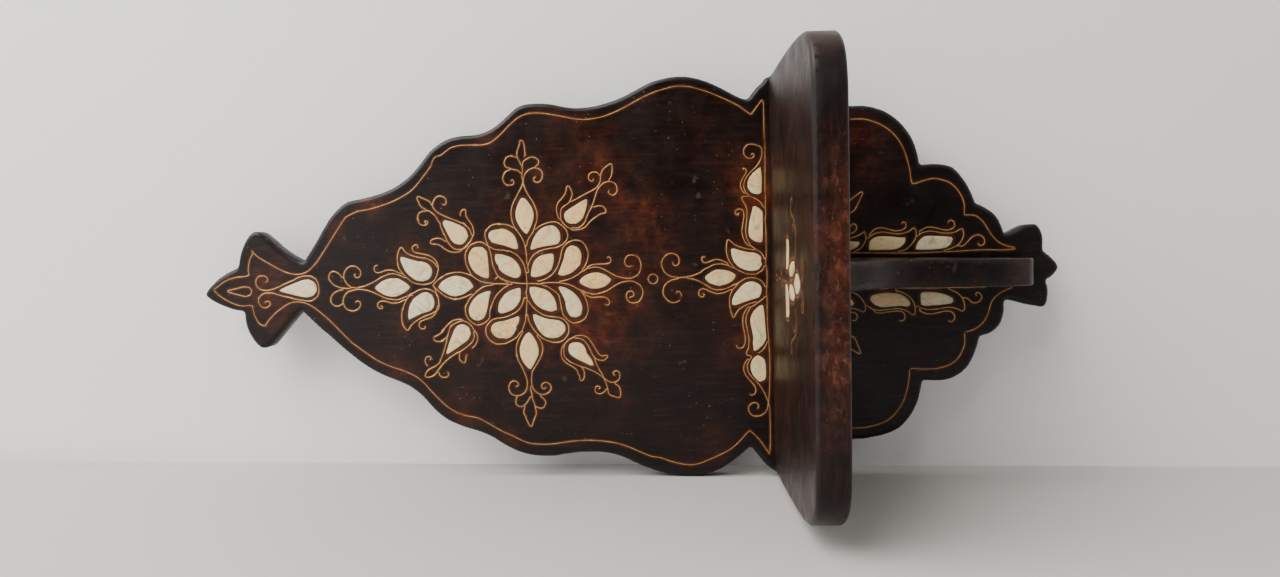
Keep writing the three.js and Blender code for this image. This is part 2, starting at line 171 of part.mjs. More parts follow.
// ---- board ----
const outline = pairs(BOARD_OUTLINE);
let board = toManifold(boardPrism(shapeOf(outline), 0, FRONT));
const nacre = {};
for (const [name, arr] of Object.entries(BOARD_NACRE)) {
  const p = pairs(arr);
  nacre[name] = boardPrism(shapeOf(p), FRONT + NACRE_T + 0.05, FRONT + 0.05);
  board = board.subtract(toManifold(boardPrism(shapeOf(offset(p, GAP)), FRONT + POCKET, FRONT - 1)));
}
const wires = {
  wire_border_upper: [pairs(UPPER_BORDER), true], wire_border_lower_l: [pairs(LOWER_BORDER_L), false],
  wire_border_lower_r: [pairs(LOWER_BORDER_R), false], wire_centre_ring: [pairs(RING), true],
};
const wireGeom = {};
for (const [name, [p, closed]] of Object.entries(wires)) {
  wireGeom[name] = boardPrism(ribbonShape(p, WIRE_W, closed), FRONT + WIRE_D, FRONT);
  let q = p;
  if (!closed) { // the groove runs a little past each end
    const ext = (a, b) => { const l = Math.hypot(b[0] - a[0], b[1] - a[1]); return [b[0] + (b[0] - a[0]) / l * GAP, b[1] + (b[1] - a[1]) / l * GAP]; };
    q = [ext(p[1], p[0]), ...p.slice(1, -1), ext(p[p.length - 2], p[p.length - 1])];
  }
  board = board.subtract(toManifold(boardPrism(ribbonShape(q, WIRE_W + 2 * GAP, closed), FRONT + GROOVE_D, FRONT - 1)));
}

// ---- shelf: rounded all round, its back edge cut square against the board ----
const shelfPts = pairs(SHELF_OUTLINE);
const shelfGeom = new THREE.ExtrudeGeometry(shapeOf(shelfPts), { depth: SHELF_T - 2 * SHELF_ROUND, bevelEnabled: true, bevelThickness: SHELF_ROUND, bevelSize: SHELF_ROUND, bevelOffset: -SHELF_ROUND, bevelSegments: 4 });
shelfGeom.rotateX(Math.PI); // depth now runs towards -Y, thickness downwards
shelfGeom.translate(0, FRONT, SHELF_TOP - SHELF_ROUND);
let shelf = toManifold(shelfGeom);
const behind = new THREE.BoxGeometry(400, 60, 80); behind.translate(0, FRONT - GAP + 30, SHELF_TOP - 11);
shelf = shelf.subtract(toManifold(behind));
const shelfNacre = {};
for (const [name, arr] of Object.entries(SHELF_NACRE)) {
  const p = pairs(arr);
  shelfNacre[name] = shelfPrism(p, SHELF_TOP - NACRE_T - 0.05, SHELF_TOP - 0.05);
  shelf = shelf.subtract(toManifold(shelfPrism(offset(p, GAP), SHELF_TOP - POCKET, SHELF_TOP + 1)));
}

// ---- bracket: plank on edge, profile in y, z ----
const bp = pairs(BRACKET_PROFILE).map(([y, z]) => [y, z]);
const bGeom = new THREE.ExtrudeGeometry(shapeOf(bp), { depth: BRACKET_T - 2 * BRACKET_ROUND, bevelEnabled: true, bevelThickness: BRACKET_ROUND, bevelSize: BRACKET_ROUND, bevelOffset: -BRACKET_ROUND, bevelSegments: 2 });
{
  // profile (u, v, w) -> (w, u, v), then the slight sideways lean
  const a = bGeom.attributes.position.array;
  for (let i = 0; i < a.length; i += 3) {
    const u = a[i], v = a[i + 1], w = a[i + 2] - (BRACKET_T / 2 - BRACKET_ROUND);
    a[i] = w + 0.6 + (v + 270) * BRACKET_LEAN; a[i + 1] = FRONT + u; a[i + 2] = v;
  }
}
let bracket = toManifold(bGeom);
const wallSide = new THREE.BoxGeometry(200, 80, 400); wallSide.translate(0, FRONT - GAP + 40, -250);
const above = new THREE.BoxGeometry(200, 400, 80); above.translate(0, FRONT - 100, SHELF_TOP - SHELF_T - GAP + 40);
bracket = bracket.subtract(toManifold(wallSide)).subtract(toManifold(above));

// ---- screws from the back: three into the shelf, two into the bracket ----
const SZ = SHELF_TOP - SHELF_T / 2;
const screws = {
  screw_shelf_l: [4.2, 2.0, 50, -112, SZ], screw_shelf_c: [4.2, 2.0, 50, -32, SZ], screw_shelf_r: [4.2, 2.0, 50, 112, SZ],
  screw_bracket_upper: [4.2, 2.0, 44, 3.5, -196], screw_bracket_lower: [4.2, 2.0, 40, 0.5, -272],
};
const screwGeom = {};
for (const [name, [rh, rs, len, x, z]] of Object.entries(screws)) {
  screwGeom[name] = screw(rh, rs, len, x, z, 0, -0.2);
  const hole = toManifold(screw(rh, rs, len, x, z, GAP, -0.2));
  board = board.subtract(hole);
  if (name.startsWith('screw_shelf')) shelf = shelf.subtract(hole); else bracket = bracket.subtract(hole);
}

// ---- keyhole hanging plate let into the board's back ----
const PLATE = { x: 0, z: 226, w: 24, h: 58, t: 2 };
function arcPts(cx, cy, r, a0, a1, n) {
  const p = []; for (let i = 0; i <= n; i++) { const a = a0 + (a1 - a0) * i / n; p.push([cx + r * Math.cos(a), cy + r * Math.sin(a)]); } return p;
}
function plateShape(grow, holes) {
  const w = PLATE.w / 2 + grow, c = PLATE.h / 2 - PLATE.w / 2;
  const s = shapeOf([...arcPts(PLATE.x, PLATE.z - c, w, Math.PI, 2 * Math.PI, 14), ...arcPts(PLATE.x, PLATE.z + c, w, 0, Math.PI, 14)]);
  if (holes) {
    const zc = PLATE.z - 7, R = 5, q = 2.8, a = Math.asin(q / R);
    const k = [...arcPts(0, PLATE.z + 9, q, 0, Math.PI, 10), ...arcPts(0, zc, R, Math.PI / 2 + a, Math.PI / 2 - a + 2 * Math.PI, 20)];
    s.holes.push(new THREE.Path(k.map(([x, y]) => new THREE.Vector2(x, y))));
  }
  return s;
}
let plate = toManifold(boardPrism(plateShape(0, true), -0.2, -0.2 - PLATE.t));
board = board.subtract(toManifold(boardPrism(plateShape(GAP, false), 1, -0.2 - PLATE.t - GAP)));
{
  const pocket = new THREE.BoxGeometry(14, 10, 34); pocket.translate(0, -5, PLATE.z - 1);
  board = board.subtract(toManifold(pocket));
}
const small = { screw_hanger_upper: [2.9, 1.4, 11, 0, PLATE.z + 21.5], screw_hanger_lower: [2.9, 1.4, 11, 0, PLATE.z - 21.5] };
for (const [name, [rh, rs, len, x, z]] of Object.entries(small)) {
  screwGeom[name] = screw(rh, rs, len, x, z, 0, -0.3);
  const hole = toManifold(screw(rh, rs, len, x, z, GAP, -0.3));
  board = board.subtract(hole); plate = plate.subtract(hole);
}

// ---- the named nodes ----
const WOOD = ['dark_wood', 0x2a1813, 0.42, 0.0], PEARL = ['nacre', 0xe6ded0, 0.28, 0.0], BRASS = ['brass', 0xb98549, 0.38, 1.0], STEEL = ['steel', 0x8d8f92, 0.4, 1.0];
add('back_board', toGeometry(board), ...WOOD);
add('shelf', toGeometry(shelf), ...WOOD);
add('bracket', toGeometry(bracket), ...WOOD);
for (const [name, g] of Object.entries(nacre)) add(name, toGeometry(toManifold(g)), ...PEARL);
for (const [name, g] of Object.entries(shelfNacre)) add(name, toGeometry(toManifold(g)), ...PEARL);
for (const [name, g] of Object.entries(wireGeom)) add(name, toGeometry(toManifold(g)), ...BRASS);
for (const [name, g] of Object.entries(screwGeom)) add(name, toGeometry(toManifold(g)), ...STEEL);
add('hanger_plate', toGeometry(plate), ...BRASS);

export default group;
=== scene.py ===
import math

import bmesh
import bpy
import numpy as np
from mathutils import Matrix, Vector, noise
from mathutils.geometry import delaunay_2d_cdt
from mathutils.kdtree import KDTree


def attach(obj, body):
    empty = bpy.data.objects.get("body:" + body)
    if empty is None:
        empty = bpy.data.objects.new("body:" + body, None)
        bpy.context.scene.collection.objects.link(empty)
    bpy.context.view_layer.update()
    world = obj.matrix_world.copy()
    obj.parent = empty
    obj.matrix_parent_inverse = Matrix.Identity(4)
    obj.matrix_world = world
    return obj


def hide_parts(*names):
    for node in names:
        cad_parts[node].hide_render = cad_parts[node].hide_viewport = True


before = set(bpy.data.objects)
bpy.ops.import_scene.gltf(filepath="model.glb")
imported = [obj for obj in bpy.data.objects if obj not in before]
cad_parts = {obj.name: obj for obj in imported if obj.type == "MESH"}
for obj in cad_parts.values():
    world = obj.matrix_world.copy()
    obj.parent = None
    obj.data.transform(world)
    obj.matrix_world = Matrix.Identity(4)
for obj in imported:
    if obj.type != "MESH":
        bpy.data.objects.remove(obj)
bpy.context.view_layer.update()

# Tables are millimetres in the model's frame: x, z on the board's front face, or x, depth from the board on
# the shelf's top. Everything else is built from them.
OUTLINE = [-1.9,351.4,-2.4,351.4,-3.3,351,-4.1,350.4,-5.1,349.3,-6.6,347.4,-7.8,345.7,-10,341.8,-11.9,337.7,-14.9,330.3,-15.7,327.5,-16.7,322.1,-17.1,321.1,-17.4,320.8,-18.1,320.2,-19.5,319.8,-21,319.7,-25,319.5,-29.5,318.8,-31.9,318.1,-35.6,316.6,-41.3,313.5,-43.3,312.1,-45.2,310.4,-46.6,308.9,-47.4,307.7,-47.9,306.3,-48,305.3,-48,304.3,-47.7,302.4,-47.2,301,-46.1,299.3,-44.4,297.5,-37.3,291.3,-33.6,287.8,-30.5,285.3,-26.8,282,-21.8,277.1,-19.7,275,-18.4,273.4,-18,272.5,-18,272.1,-18.2,271.2,-19.2,270.1,-30,259.7,-34.2,255.4,-39.5,249.4,-44.4,244.4,-50.2,238.2,-55.5,232.2,-61,225.7,-66.6,218,-69.8,213,-73.3,206.4,-78.3,194.9,-81.2,188.5,-83.1,185,-85.3,181.7,-88.4,177.8,-92.2,173.8,-96,170.5,-101.8,165.7,-104.3,163.4,-108.4,158.9,-111.4,155,-112.8,152.9,-114.4,149.8,-117.7,142.5,-119.3,138.3,-122.7,127.8,-125.7,121,-128.5,115.7,-132.8,109.5,-135.2,105.7,-139,98.6,-140.4,95.5,-142.2,90.3,-143.6,85,-144.3,80.5,-144.8,74.5,-144.9,69,-144.8,64.5,-144.2,60.6,-143.6,57.7,-143.4,54.2,-142.9,51.2,-142.3,44.8,-142.3,34.8,-142.5,28.3,-142.9,24.3,-144.7,15.5,-146.1,11.2,-147.5,7.5,-149.4,3.4,-151.8,-1,-155.8,-9.6,-159.9,-20.4,-162.2,-29.1,-162.5,-31,-163.8,-39.9,-164.2,-49.9,-163.8,-57.9,-162.3,-64.7,-161.7,-66.6,-158.7,-73.5,-157.7,-75.3,-153.5,-82,-147.5,-90,-142.3,-96.1,-141.8,-96.9,-141.5,-97.9,-141.6,-98.3,-142,-99.1,-144.2,-101.1,-156.5,-110.6,-160.6,-115.6,-161.5,-117.3,-163.1,-122,-163.4,-128,-163.2,-130,-161.8,-135.8,-161.3,-137.2,-157.1,-145.7,-150.7,-154.7,-144.1,-163.4,-140.3,-170.5,-139.5,-172.3,-137.7,-179,-137.3,-181,-136.8,-184.5,-136.8,-190.5,-136.2,-195.4,-135.5,-198.8,-135.1,-201.8,-134.5,-205.3,-133.7,-208.2,-132.1,-213.4,-130.9,-216.2,-129.4,-219.3,-128.6,-220.6,-127.4,-222.2,-125.7,-224.1,-124.3,-225.4,-120.5,-228.7,-116.8,-231.3,-114.7,-232.6,-109.8,-235,-105.6,-236.7,-99.8,-238.2,-93.4,-239.6,-91,-240,-90.1,-240.4,-89.7,-240.7,-89.2,-241.5,-89.1,-242.4,-89.5,-249.4,-89.5,-256.4,-89.2,-259.4,-88.3,-263.3,-87.7,-265.1,-86.6,-267.4,-84.1,-271.7,-83.2,-272.9,-81.9,-274.4,-79,-277.2,-77.4,-278.4,-76.1,-279.2,-72.6,-281.1,-68.5,-283,-61,-285.7,-55.7,-287,-54.8,-287.4,-54.4,-287.7,-53.8,-288.4,-53.2,-289.8,-52.6,-292.7,-52,-294.6,-51.4,-296,-50.4,-297.7,-48.9,-299.8,-47.3,-301.6,-45.8,-302.9,-43.7,-304.3,-42.4,-305,-41,-305.6,-38.1,-306.4,-35.2,-307.1,-32.7,-307.4,-26.7,-307.5,-25.8,-307.8,-25,-308.3,-24.8,-308.7,-24.5,-309.6,-24.7,-311.6,-26.7,-319.8,-28.6,-326,-29.2,-328.5,-29.7,-330.4,-30.1,-333.4,-30.8,-336.3,-30.9,-337.8,-30.9,-338.8,-30.6,-339.7,-30,-340.5,-28.8,-341.4,-27,-342.2,-25.5,-342.5,-21.1,-343.1,-18.1,-343.2,-16.1,-343.1,-14.1,-342.7,-11.3,-341.7,-10.3,-341.6,-9.4,-341.8,-9,-342,-8.3,-342.6,-6.9,-345.2,-5.6,-346.7,-4.2,-348.2,-2.6,-349.4,-1,-350.6,-0.1,-351,0.8,-351.2,1.8,-351.1,3.2,-350.6,5,-349.6,6.1,-348.7,10.2,-344.9,11.5,-343.4,13.6,-340.6,14.3,-340,15.1,-339.4,16.5,-339.1,23.5,-339.2,25.5,-339.1,27.5,-338.8,29.4,-338.2,31.7,-337.3,33.9,-336,35.4,-334.8,36.3,-333.6,36.6,-332.6,36.8,-331.7,36.7,-329.2,36.1,-325.2,35.3,-322.8,29.7,-310.6,29.4,-309.1,29.7,-308.3,30,-308,30.8,-307.5,36,-305.7,40.1,-303.9,43.2,-302.1,45.1,-300.6,47.6,-298.1,49.6,-295.3,52.5,-290.6,54.6,-286.1,55.1,-285.3,55.9,-284.6,57.2,-284,60.1,-283,61.9,-282.3,67.8,-279.5,71.7,-277.4,78.7,-272.5,81,-270.6,83.8,-267.7,84.9,-266.1,85.9,-263.8,86.3,-262.4,87.3,-258,87.7,-254.5,87.9,-250.5,87.9,-248,87.5,-242,87.7,-241.1,88.3,-240.3,88.6,-240,89.5,-239.6,95.9,-238.5,101.2,-237,104.5,-236,108.2,-234.4,110.9,-233.1,113.1,-231.8,118.7,-227.7,121.4,-225.4,123.5,-223.3,127.4,-218.7,129.6,-215.4,131.4,-212.4,132.7,-209.7,133.9,-206.4,134.7,-204.1,135.7,-200.2,136.2,-197.2,136.5,-195.3,136.7,-190.8,136.6,-186.3,137.1,-180.8,137.5,-178.8,139.3,-172.1,142.8,-164.9,143.8,-163.1,155.4,-146.9,156.2,-145.6,160.4,-137.1,162.5,-129.4,162.6,-127.9,162.3,-121.9,161.5,-117.5,161,-116.1,160.4,-115.4,157.2,-113,154.7,-110,152.1,-107.5,145.6,-102.2,145,-101.4,144.8,-101,144.7,-100,145,-98.1,145.9,-95.7,148.1,-91.3,152.8,-83,157,-75,159.1,-70.5,160.6,-66.8,161.9,-63,163.2,-58.2,164,-54.3,164.4,-51.3,164.7,-44.8,164.5,-42.3,164,-37.3,162.7,-30.5,161.6,-26.1,160.5,-22.8,158.8,-18.6,151.4,-3.8,149.4,0.7,147.4,5.9,145.7,11.6,144.7,15.5,143.5,20.3,142.8,24.3,142.2,29.7,142,36.2,142,39.2,142.7,45.2,143.9,51,145.2,56.4,146,61.3,146.3,64.3,146.6,68.8,146.6,73.3,146.2,79.3,145.9,81.2,144.6,85,144,86.4,143.2,87.7,141.1,90.4,134.8,97.6,129.8,103.8,127.2,108.1,125.2,112.1,124.2,114.9,122.9,120.3,122.5,125.3,122.4,130.3,122.3,132.8,121.2,139.7,120.5,142.6,119.8,144.5,118,148.6,117.1,150.3,115.2,153.3,112.6,157,110.6,159.2,108.1,161.6,100.7,167.6,96.9,170.9,94.4,173.3,91.9,175.8,89.9,178,87.2,181.6,85.2,184.5,82.6,188.7,80.6,192.8,79.3,196,77.7,200.2,76,206,74,214.7,73,220.1,72.4,224.1,71.4,228.5,70.9,229.9,69.7,232.1,67.8,235,63.5,239.8,57.1,245.5,52.5,248.5,48.8,251,43.7,254.1,35.7,259.2,24.5,266.9,23.8,267.5,23.2,268.2,23.1,268.7,23.1,269.6,23.6,271,24.2,272.4,26.2,275.8,28.5,279.7,30.8,283,35.1,288.5,37.8,291.4,40.7,294.1,43.7,297.5,46.3,300.6,47.4,302.2,48.2,304,48.8,306.5,48.8,307.4,48.7,308.4,48.1,309.8,46.7,311.8,45.2,313.1,41.1,316,36.7,318.3,31.1,320.6,26.3,321.8,22.4,322.6,20.5,323.2,19.6,323.7,19,324.4,18.5,325.3,16.2,330.8,15.1,333.1,12.5,337.4,10.3,340.7,9,342.2,5.9,345.5,3.5,348,1.6,349.6,-0.1,350.7,-1,351.2]
PEARL = {
    "nacre_finial_drop": [-0.9,288.6,-1.8,286.1,-3.8,279.2,-6.2,269.8,-6.6,265.3,-5.9,262.2,-4.8,260.3,-1.7,257.8,0.7,257.5,2.2,257.7,4,258.4,6,259.9,7.8,263.1,8.2,265.8,7.5,269.8,5.2,276.6,1.1,286.7,-0.5,289],
    "nacre_crown_almond": [-2.8,207.2,-6.1,202.2,-7.7,197.7,-8.1,194,-7.6,190.8,-5.5,185.8,-3.6,182.8,-1.1,180.2,-0.4,180,1.5,181.4,4.8,185.8,6.9,189.7,7.3,193.2,7,197.1,5.5,201.9,2.6,206.2,0.6,208.4,-0.8,209.2],
    "nacre_crown_leaf_l": [-27.2,181.3,-23,172,-20.9,164.8,-19.4,162.6,-18.3,161.6,-16.5,160.8,-13.3,160.2,-9.5,161.2,-7.7,162.1,-5.2,165.8,-5.2,169,-5.9,171,-10,177.3,-11.3,178.4,-15.9,181,-22.9,182.5,-27.1,182.3],
    "nacre_crown_leaf_r": [23.5,187,20.3,186.6,13.6,183.8,10.4,181.5,6.3,176.8,4.7,173.5,4.2,171,4.1,168.8,5.5,164.5,6.6,163.2,8.4,161.9,10.8,161.1,13,161.2,16.2,162.5,18.5,164.8,19.6,167,20.4,170.1,20.5,172.3,24.6,185.3,24.6,186.3,24.3,186.8],
    "nacre_rosette_top": [-2.4,155.9,-3.8,154.5,-7.5,148.6,-9,144.4,-9.1,142.2,-7.6,135.9,-5.7,132.7,-2.1,127.8,-1.3,127.4,3.3,130.3,5.3,132.8,7,137.3,7.8,141.5,7.2,145.6,4.6,151.3,2.2,154.4,-0.3,156.1,-1.4,156.5],
    "nacre_drop_upper_l": [-56.9,151.3,-56.3,150,-52.6,143.8,-46.5,134.9,-45.2,133.4,-43.6,132.4,-41.3,131.5,-38.8,131.3,-35.5,132.4,-34,134,-32.6,136.6,-32.5,139.1,-33.6,141.9,-35.3,143.6,-38.3,145.4,-46.9,149.1,-55.6,152.1,-56.9,151.9],
    "nacre_drop_upper_r": [51.5,150.8,49.1,150.1,38.1,144.9,36.2,143.6,34.7,142,33.9,140.2,33.3,136.3,33.9,134.5,36.4,132,40.3,130,44.5,131.3,46.3,132.5,47.9,134.2,49.6,137.2,52.5,144,53.6,147.9,53.6,149.1,53.1,149.9],
    "nacre_petal_top_l": [-5.5,115,-6.1,117.7,-7.5,121.9,-8.7,124.1,-11.2,126.9,-15.8,130.3,-19.7,131.9,-23.4,131.9,-26.7,130.7,-28.9,128.1,-29.7,125.8,-29.7,123.8,-28.3,120.5,-26.2,118.8,-23.3,117.5,-15.9,115.6,-10.7,114.6,-6.4,113.2,-5.6,113.6],
    "nacre_petal_top_r": [5.9,114.4,7.8,114.1,26.2,115,28.7,116.5,30.4,118.3,31,120.4,30.8,125.1,29.2,127.8,24.9,130.3,20.2,130.6,15,129.1,10.4,126.1,7.6,122.5,5.4,117.8,5,115.2],
    "nacre_petal_side_upper_l": [-27.3,92.3,-30.1,101.5,-31.2,108.4,-32.2,111.2,-33.9,113.1,-36.3,114.2,-38.8,114.2,-41.6,112.8,-43.8,110.1,-45,106.6,-44.9,104.4,-45.5,102.6,-44.8,99.3,-42,95.9,-38.1,93.3,-37.1,93.1,-35.9,93.4,-32.7,91.3,-29.1,90.3,-27.2,90.5],
    "nacre_petal_side_upper_r": [30.2,89.3,33.1,89.8,37.6,91.2,39.4,92.1,41.3,93.7,43.4,96.5,45,99.8,45.4,101.5,44.9,106.5,44.1,110.1,43.3,111.9,42.7,112.6,41.1,113.3,38.4,113.3,36.8,112.5,34.4,110.4,31.3,100,28.7,93,28.4,90.5,29,89.6],
    "nacre_inner_upper_l": [-3.6,90.2,-5.6,96.9,-8,101.2,-9.4,102.6,-14.5,106.2,-17.2,107.2,-21.9,107.8,-23.4,107.1,-24.1,105.8,-24.2,103.4,-21.6,96.1,-19.1,92.8,-16.7,90.9,-12.7,88.9,-5.5,88.4,-3.9,88.9],
    "nacre_inner_upper_r": [23,108.8,19.6,108.6,16.8,107.6,15.4,106.3,12.6,105.7,10.8,104.4,8.4,101.6,5.1,94.6,4.7,91.2,5.3,89.6,8.8,87.7,11.4,88,16.2,90,19.6,92.9,21.4,95.2,24,101.7,24.7,106.6,24.4,108.4],
    "nacre_rosette_left": [-70.7,81.9,-66.7,79.4,-61.7,76.7,-59.4,75.8,-55.1,75.4,-50.3,76.3,-46,78.2,-41.5,81.3,-40.6,83,-42,85.5,-47.2,88.9,-52.6,90.8,-55.6,91.2,-60,90.6,-64.9,88.8,-66.8,87.6,-70.2,84.8,-71.4,82.8],
    "nacre_rosette_right": [41.5,80.9,45.6,78.5,52.8,75.9,57,75.6,60.4,76.3,64.8,78.5,69.1,81.8,70.2,84.2,69.8,85.3,68.5,86.5,63.1,89.1,59.4,90.3,54.7,90.5,51,89.6,44.9,86.4,42.2,84.2,40.9,82.7,40.6,81.9],
    "nacre_inner_lower_l": [-3.9,81,-7.2,81.1,-11.7,79.8,-15.5,77.9,-18.8,75.2,-21.6,71.1,-23.6,66,-23.7,62.8,-22.6,58.9,-17.4,59.4,-14.5,60.3,-11,62.1,-9,63.6,-6.6,66.5,-4.8,70,-3,77.8,-3.1,80.7],
    "nacre_inner_lower_r": [4.8,76.6,5.6,71.7,7.3,67,9.4,63.9,11.5,62.2,16.4,60.6,22.3,60.3,23.4,60.7,23.8,61.5,23.8,64.3,23.1,68.4,22,71.7,19.9,74.8,17.2,76.9,13.3,78.5,6.7,79.7,5.6,79.4],
    "nacre_petal_side_lower_l": [-29.7,78.8,-36.4,76.2,-41.4,73.1,-44.6,69.3,-46.1,64.6,-45.5,59.1,-43.6,55.7,-41.2,53.5,-38.7,52.5,-36.3,52.7,-34.7,53.5,-33.1,55,-31.9,56.9,-31.2,58.7,-29.3,68.9,-25.8,77,-25.6,78.2,-25.9,79],
    "nacre_petal_side_lower_r": [27.5,78.6,27.5,77.4,29.2,71.4,31.1,58.9,31.9,56.5,33.6,55.1,36.1,54.3,40.3,54.5,43.9,56.1,45.2,57.2,46.7,59.7,47,62.9,46.1,67.1,44.3,70.3,42.6,72.3,36.9,76.3,29.9,79,27.8,79.1],
    "nacre_petal_bottom_l": [-5,57,-14.7,52.5,-22.8,51.1,-26.8,49.2,-28.3,47.9,-28.8,46.8,-29.2,43.1,-28.7,41.5,-27,39.4,-21.7,38.1,-17.3,39,-13.1,41,-8.7,44.9,-5.2,50,-3.5,54.9,-3.7,57],
    "nacre_petal_bottom_r": [5.9,55.7,5.4,52.8,6.7,48,7.8,45.7,9.7,43.1,13.6,39.2,15.1,38.4,21.2,37.4,25.4,38.3,28.2,40.3,29.7,43.1,30,44.8,29.5,47,27.6,49.3,24.1,51,19,52.3,8.9,56.5,7.1,57.2,6.5,57],
    "nacre_drop_lower_l": [-69,30.2,-66.3,31,-61,34.1,-59.8,35.3,-55.6,36.5,-53.4,37.5,-51.9,38.7,-50.5,40.8,-49.9,43.7,-50.2,47.6,-51.2,49.3,-52.9,50.3,-55.8,50.7,-58.7,50,-60.6,48.5,-63.3,44.9,-67.5,36.7,-69.4,32.7,-69.5,30.4],
    "nacre_drop_lower_r": [67.1,33.4,64.1,39.1,58.1,49,56.3,50.2,54.1,50.6,50.7,49.7,49.6,48.9,48.2,46.3,47.8,42,48.5,39.7,51.4,36,57.2,33.2,65.2,31.2,67.5,31.4],
    "nacre_rosette_bottom": [4,16.5,6,19.9,7,23,7.3,26,6.9,30,4.3,36.4,1.6,39.2,0.6,39.6,-0.6,39.4,-1.8,38.5,-4.5,33.7,-5.6,31.3,-6,25.3,-4.9,20.7,-3.8,18.2,-1.4,15.1,1.3,13.4],
    "nacre_row_almond": [-0.7,-63.8,-3.3,-66.1,-5,-69.6,-6.3,-73.4,-6.4,-75.9,-4.8,-82.1,-3.2,-85.5,-2.2,-86.6,-0.5,-87.9,2.1,-88.5,3,-87.9,5.6,-83.1,6.7,-77.7,6.9,-73.4,6.2,-71,3.9,-66.9,1.4,-63.8,0.3,-63.3],
    "nacre_row_leaf_l": [-22.8,-86.9,-22.4,-89.8,-20.3,-95.6,-16.9,-107.4,-14.5,-108.8,-12.6,-109.5,-9.4,-109.6,-7.2,-108.6,-5.1,-106.2,-3.8,-103,-3.7,-99.5,-5.5,-95.2,-7.6,-92.5,-13.1,-87.8,-15,-86.6,-18,-85.4,-21,-85,-22.3,-85.3],
    "nacre_row_leaf_r": [18.8,-85.5,14,-86.8,10.6,-89.2,8.7,-91.2,7.2,-93.5,5.5,-97.9,5.1,-100.9,5.2,-104.4,5.9,-107,6.8,-108.2,8.3,-109.4,10.6,-110.3,12.4,-109.7,15.4,-109.8,17.4,-108.8,18.7,-107.1,19.9,-104.3,20.4,-99.9,22,-93.1,23.8,-87.6,23.6,-85.9,23.2,-85.2],
    "nacre_row_mid_l": [-60.2,-105.1,-56.8,-109.1,-54,-111.2,-50.8,-112.5,-45.9,-112.4,-28.7,-111.4,-23.8,-110.6,-23.1,-110.1,-23.7,-107.6,-27.4,-103.3,-30.6,-101.1,-33.7,-100,-37.4,-99.8,-48.7,-101.7,-55.2,-101.5,-57.9,-101.9,-59.3,-101.8,-60.7,-102.1,-61.1,-102.6],
    "nacre_row_mid_r": [35,-111.6,44,-111.8,52,-111.8,54.4,-110.6,56.4,-108.4,58,-105.4,57.5,-103.8,53.5,-102.8,48,-101.2,42,-100.2,36,-99.9,32.6,-100.8,30.2,-103.2,28.6,-106.4,28.2,-109.4,29.2,-111.1],
    "nacre_row_end_l": [-86.2,-105.4,-86.6,-107,-85,-110.8,-83,-111.7,-74,-111.8,-69.2,-111.2,-66.2,-108.6,-64.6,-105.6,-66,-102.6,-69.2,-100.2,-73.4,-99.2,-77.6,-99.6,-81.6,-101.4],
    "nacre_row_end_r": [88.8,-109.5,87.4,-107.5,83.4,-103.1,79.5,-100.5,75.9,-99.7,72.9,-100,69.9,-101.7,68.4,-103.7,67.3,-107.5,67.4,-108.7,68.2,-110.3,68.9,-110.9,70.1,-111.2,79.1,-111.6,84.3,-111.4,89.3,-110.8],
    "nacre_low_bottom_r": [18.4,-236.4,18.2,-244.3,18.6,-254.3,19.2,-259.2,20.3,-261.5,21.9,-263.4,23.9,-264.7,26.4,-265.6,27.8,-264.8,28.3,-263.7,29.1,-256,29.6,-244.1,28.5,-241.3,26,-238.3,22.6,-236.2,20.6,-235.6,18.9,-235.5],
    "nacre_low_bottom_l": [-26.3,-239.4,-27.4,-242,-27.2,-250,-26.8,-257,-25.8,-264,-24,-265.8,-21.5,-265,-19.3,-261,-17.6,-256.5,-16.4,-251,-15.9,-244,-16.3,-239.6,-20,-238.8],
    "nacre_low_mid_l": [-21.5,-198,-24.5,-200.5,-27,-205,-27.6,-210,-27.2,-217,-27,-223,-27.6,-228.5,-26,-230.8,-22.5,-229.4,-19.5,-226.4,-17.2,-222,-16,-216,-15.8,-210,-16.4,-204.5,-17.6,-199.8,-19.2,-198.2],
    "nacre_low_mid_r": [18.9,-204,19,-212,19.4,-219,20.8,-222.8,23.4,-225.8,26,-227.2,28.8,-227,29.2,-221,30,-215,30.4,-209,30.2,-204.5,28.8,-201,26.5,-198.4,23.5,-197.6,19.2,-197.4],
    "nacre_low_top_l": [-20.5,-160.2,-23.5,-162.5,-25.8,-166.5,-26.6,-172,-26.2,-178,-25.6,-183.2,-24.2,-184.8,-21.4,-183.4,-18.8,-180.4,-17,-176,-16.2,-170,-16.6,-163.5,-18.2,-160.4],
    "nacre_low_top_r": [19,-170,19.2,-180,20,-184.4,21.8,-187.6,24.2,-189.6,26.4,-189.8,26.8,-185,27.6,-179,28.6,-173,28.2,-168,26,-163.5,23,-161,19.4,-160.5],
}
SHELF_PEARL = {
    "nacre_shelf_bar_l": [-25.5,81.5,-2,80.3,-1.6,86.5,-5.5,92,-12,95,-22,96.3,-24.8,93,-25.8,87],
    "nacre_shelf_bar_r": [9,84.8,30.5,87,31.2,92,30,97.5,20,98.5,13,96,9.5,91],
    "nacre_shelf_leaf_l": [-8.5,98.6,-3.5,98.2,-0.6,103,-0.4,110,-2.5,117,-6,122,-9,122.8,-11.4,117,-12,110,-11.2,103],
    "nacre_shelf_leaf_r": [5.4,99,9.5,98.8,13,103.5,15.2,110,16.2,118,15.4,123.6,12.8,124.6,9,122,6.2,116.5,4.7,109.5],
    "nacre_shelf_almond": [0.8,120.5,4.4,124.5,7.4,129,8.2,134,7,139.5,4,144.2,1,147,-2.2,144,-5,139,-6,133,-4.8,127.5,-2,123.3],
}
